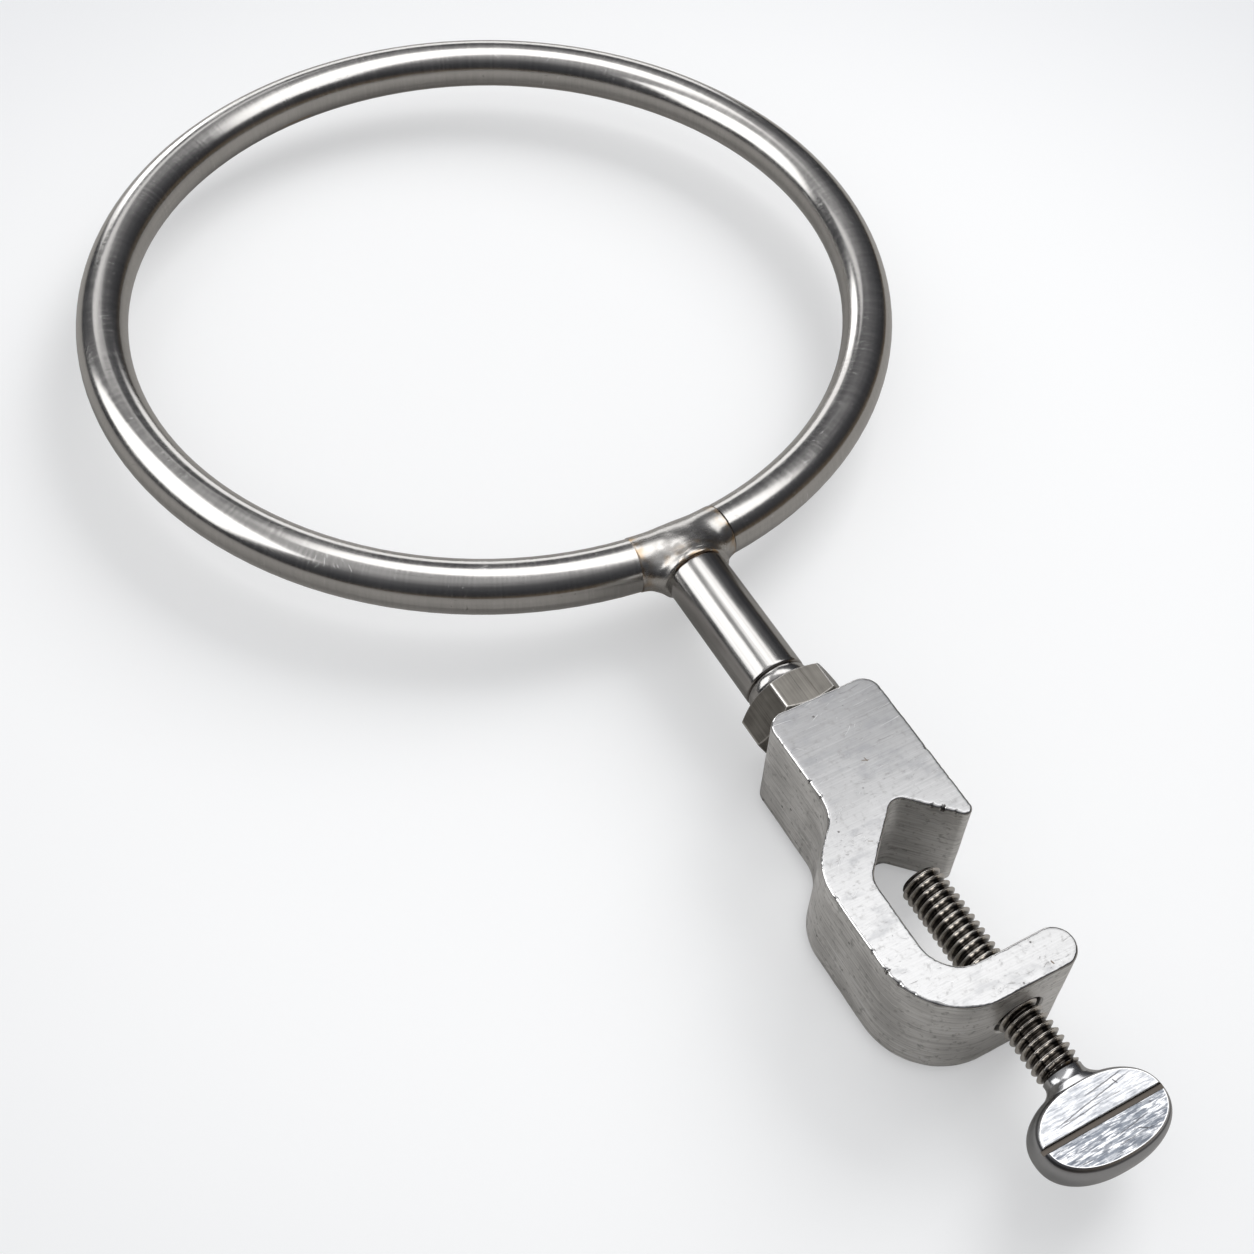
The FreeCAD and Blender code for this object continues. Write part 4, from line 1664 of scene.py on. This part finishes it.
    def build(self, groups: SharedGroups) -> None:
        """Makes the head and puts it in place of the plain one.

        Args:
            groups: the shared node groups.
        """
        obj = skin_object("thumb_grip", [self.oval()], sharp_angle=25.0)
        cut(obj, [self.slot()], sharp_angle=25.0)
        neck = skin_object("thumb_neck", [self.neck()], sharp_angle=50.0)
        finish = self.metal.start(groups)
        graph = finish.graph
        x, _, z = graph.split(finish.place)
        up = graph.math("ABSOLUTE", graph.split(finish.facing)[2])
        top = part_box("thumb_head")[1].z / MM
        level = graph.math("ABSOLUTE", z)
        flat = graph.span(up, 0.9, 0.98)
        face = graph.math("MULTIPLY", flat, graph.math("GREATER_THAN", level, top - 0.1))
        slot = graph.math("MULTIPLY", flat, graph.span(level, top - 0.1, top - 0.2, 0.0, 1.0))
        finish.grain(self.face_grain, face)
        far_half = graph.math("MULTIPLY", face, graph.span(x, *self.scuffed_half, 0.45, 1.0))
        for scuff in self.scuffs:
            finish.cloud(scuff, far_half)
        for marks in self.scratches:
            finish.scratches(marks, face)
        finish.specks(self.pits, face)
        for mark in self.marks:
            finish.stroke(mark, self.mark_colour, 0.8)
        # painted shade: the sides get a darker colour than the face
        finish.stain(graph.math("SUBTRACT", 1.0, face), self.side_shade_colour)
        # painted shade on the slot's floor
        finish.stain(slot, self.slot_shade_colour, 0.95)
        # painted shade under the rim, and painted highlight on it
        finish.stain(finish.mask("under"), self.under_rim_shade_colour, 0.75)
        finish.stain(finish.mask("rim"), self.rim_highlight_colour, 0.9)
        finish.stain(finish.mask("neck"), self.neck_colour)
        finish.dull(finish.mask("neck"), 0.22)
        material = finish.finish()
        place_piece(obj, "thumb_grip", "thumb_head", material)
        place_piece(neck, "thumb_grip", "thumb_head", material)
        LOG.info("thumb head built, %d faces", len(obj.data.polygons))


# ---- the studio ---------------------------------------------------------------------


class LampUse(Enum):
    """What a lamp is for."""

    REFLECTION = "seen in the metal, and lights nothing else"
    LIGHT = "lights the floor, and isn't seen in the metal"


@dataclass(frozen=True)
class SoftBox:
    """One rectangular lamp. Lengths in metres."""

    name: str
    use: LampUse
    place: tuple[float, float, float]
    width: float
    height: float
    radiance: float
    roll: float = 0.0

    def build(self, aim: Vector) -> None:
        """Adds the lamp, facing the part.

        Args:
            aim: the point it faces, in metres.
        """
        lamp = bpy.data.lights.new(self.name, "AREA")
        lamp.shape = "RECTANGLE"
        lamp.size, lamp.size_y = self.width, self.height
        lamp.energy = self.radiance * 4 * self.width * self.height
        obj = bpy.data.objects.new(self.name, lamp)
        obj.location = self.place
        turn = (obj.location - aim).to_track_quat("Z", "Y")
        roll = Euler((0, 0, math.radians(self.roll))).to_quaternion()
        obj.rotation_euler = (turn @ roll).to_euler()
        obj.visible_camera = False
        obj.visible_glossy = self.use is LampUse.REFLECTION
        obj.visible_diffuse = self.use is LampUse.LIGHT
        bpy.context.scene.collection.objects.link(obj)


@dataclass
class Studio:
    """Floor, lamps, surroundings and camera. Sizes in metres, the camera's turn in degrees.

    The mirrored tones are what the metal sees of the room. Each is a share, from 0
    square to the bright way or behind it to 1 along it, and the colour there.
    """

    floor_height: float = -12.3 * MM
    floor_size: float = 6.0
    floor_middle: float = 0.06
    floor_fade: tuple[float, float] = (0.10, 0.33)
    floor_colour: Colour = (0.690, 0.693, 0.697)
    floor_edge: Colour = (0.51, 0.517, 0.532)
    floor_roughness: float = 0.26
    floor_gloss: float = 0.12
    floor_glow: float = 0.48
    # the floor as the metal mirrors it, darker than it is: painted shade for the floor round the
    # part
    floor_in_metal: Colour = (0.50, 0.485, 0.465)
    aim: tuple[float, float, float] = (0.05, 0.0, 0.0)
    boxes: tuple[SoftBox, ...] = (
        SoftBox("left_box", LampUse.REFLECTION, (-0.28, -0.60, 0.47), 0.76, 0.56, 1.9),
        SoftBox("overhead_box", LampUse.REFLECTION, (0.0, 0.135, 0.49), 0.62, 0.30, 1.55, 15.0),
        SoftBox("far_strip", LampUse.REFLECTION, (-0.85, -0.02, 0.22), 0.16, 0.30, 2.0),
        SoftBox("backdrop", LampUse.REFLECTION, (-1.16, 0.33, 0.25), 1.2, 0.40, 1.3),
        SoftBox("side_strip", LampUse.REFLECTION, (-0.60, 0.01, 0.46), 0.34, 0.12, 0.9),
        SoftBox("key", LampUse.LIGHT, (-0.53, 1.14, 0.99), 1.0, 1.0, 3.8))
    ambient: float = 0.60
    ambient_colour: Colour = (0.985, 0.99, 1.0)
    bright_way: tuple[float, float, float] = (-0.15, -0.10, 0.98)
    mirrored: tuple[tuple[float, Colour], ...] = (
        (0.0, (0.14, 0.11, 0.08)), (0.05, (0.075, 0.065, 0.056)), (0.14, (0.048, 0.048, 0.052)),
        (0.42, (0.075, 0.077, 0.085)), (0.64, (0.135, 0.137, 0.145)), (0.70, (0.17, 0.17, 0.18)),
        (0.76, (0.31, 0.31, 0.32)), (0.83, (0.38, 0.38, 0.39)), (0.88, (0.54, 0.54, 0.55)),
        (1.0, (0.62, 0.62, 0.63)))
    camera_place: tuple[float, float, float] = (0.26504, -0.12419, 0.26405)
    camera_turn: tuple[float, float, float] = (37.566, -2.035, 61.007)
    camera_lens: float = 52.39
    sensor: float = 36.0

    def floor(self) -> None:
        """A wide pale floor with a faint gloss, painted darker away from its middle as light
        falling off, and glowing a little. From below it is clear, to show the underside.
        """
        half = self.floor_size / 2
        z = self.floor_height
        mesh = bpy.data.meshes.new("floor")
        corners = [(-half, -half, z), (half, -half, z), (half, half, z), (-half, half, z)]
        mesh.from_pydata(corners, [], [(0, 1, 2, 3)])
        floor = bpy.data.objects.new("floor", mesh)
        bpy.context.scene.collection.objects.link(floor)
        material = bpy.data.materials.new("Floor White")
        material.use_nodes = True
        material.node_tree.nodes.clear()
        graph = Graph(material.node_tree)
        place = graph.add("TexCoord").outputs["Object"]
        far = graph.length(graph.vector("SUBTRACT", place, (self.floor_middle, 0.0, z)))
        # painted light: the floor's tone falls off from the middle to its edge
        tone = graph.mix(graph.span(far, *self.floor_fade), self.floor_colour, self.floor_edge)
        plain = graph.add("BsdfPrincipled", {
            "Base Color": tone, "Roughness": self.floor_roughness,
            "Specular IOR Level": self.floor_gloss, "Emission Color": tone,
            "Emission Strength": self.floor_glow})
        seen = graph.add("BsdfDiffuse", {"Color": rgba(self.floor_in_metal)})
        path = graph.add("LightPath")
        both = graph.add("MixShader", {0: path.outputs["Is Glossy Ray"], 1: plain.outputs[0],
                                       2: seen.outputs[0]})
        under = graph.add("MixShader", {0: graph.add("NewGeometry").outputs["Backfacing"],
                                        1: both.outputs[0],
                                        2: graph.add("BsdfTransparent").outputs[0]})
        output = graph.add("OutputMaterial")
        graph.tree.links.new(under.outputs[0], output.inputs["Surface"])
        mesh.materials.append(material)

    def surroundings(self) -> None:
        """An even white room for the floor, and a dark one for the metal to mirror.

        Formula: what the metal mirrors is looked up by the scalar product of the view's
        way and the bright way.
        """
        world = bpy.data.worlds.new("studio")
        bpy.context.scene.world = world
        world.use_nodes = True
        if hasattr(world, "cycles"):
            world.cycles.sampling_method = "NONE"
        world.node_tree.nodes.clear()
        graph = Graph(world.node_tree)
        way = graph.add("TexCoord").outputs["Generated"]
        ramp = graph.add("ValToRGB", {0: graph.dot(way, self.bright_way)})
        while len(ramp.color_ramp.elements) < len(self.mirrored):
            ramp.color_ramp.elements.new(0.5)
        for element, (share, colour) in zip(ramp.color_ramp.elements, self.mirrored):
            element.position = share
            element.color = rgba(colour)
        dark = graph.add("Background", {"Color": ramp.outputs[0], "Strength": 1.0})
        pale = graph.add("Background", {
            "Color": rgba(self.ambient_colour), "Strength": self.ambient})
        path = graph.add("LightPath")
        both = graph.add("MixShader", {0: path.outputs["Is Glossy Ray"], 1: pale.outputs[0],
                                       2: dark.outputs[0]})
        output = graph.add("OutputWorld")
        graph.tree.links.new(both.outputs[0], output.inputs["Surface"])

    def camera(self) -> None:
        """The camera, above the clamp's side and looking down to the ring."""
        lens = bpy.data.cameras.new("camera")
        lens.sensor_width = self.sensor
        lens.lens = self.camera_lens
        lens.clip_start = 0.01
        obj = bpy.data.objects.new("camera", lens)
        obj.location = self.camera_place
        obj.rotation_euler = [math.radians(a) for a in self.camera_turn]
        bpy.context.scene.collection.objects.link(obj)
        bpy.context.scene.camera = obj

    def build(self) -> None:
        """Sets up everything round the part."""
        self.floor()
        self.surroundings()
        for box in self.boxes:
            box.build(Vector(self.aim))
        self.camera()
        bpy.context.scene.view_settings.view_transform = "Standard"
        LOG.info("studio set up")


def main() -> None:
    """Builds every piece in order, from the ring out to the thumb head."""
    logging.basicConfig(level=logging.INFO, format="%(message)s")
    groups = SharedGroups()
    Studio().build()
    pieces = [SupportRing(), WeldedTee(), Stem(), LockNut(), ClampCasting(), ThumbScrew(),
              ThumbHead()]
    for piece in pieces:
        piece.build(groups)


if __name__ == "__main__":
    main()
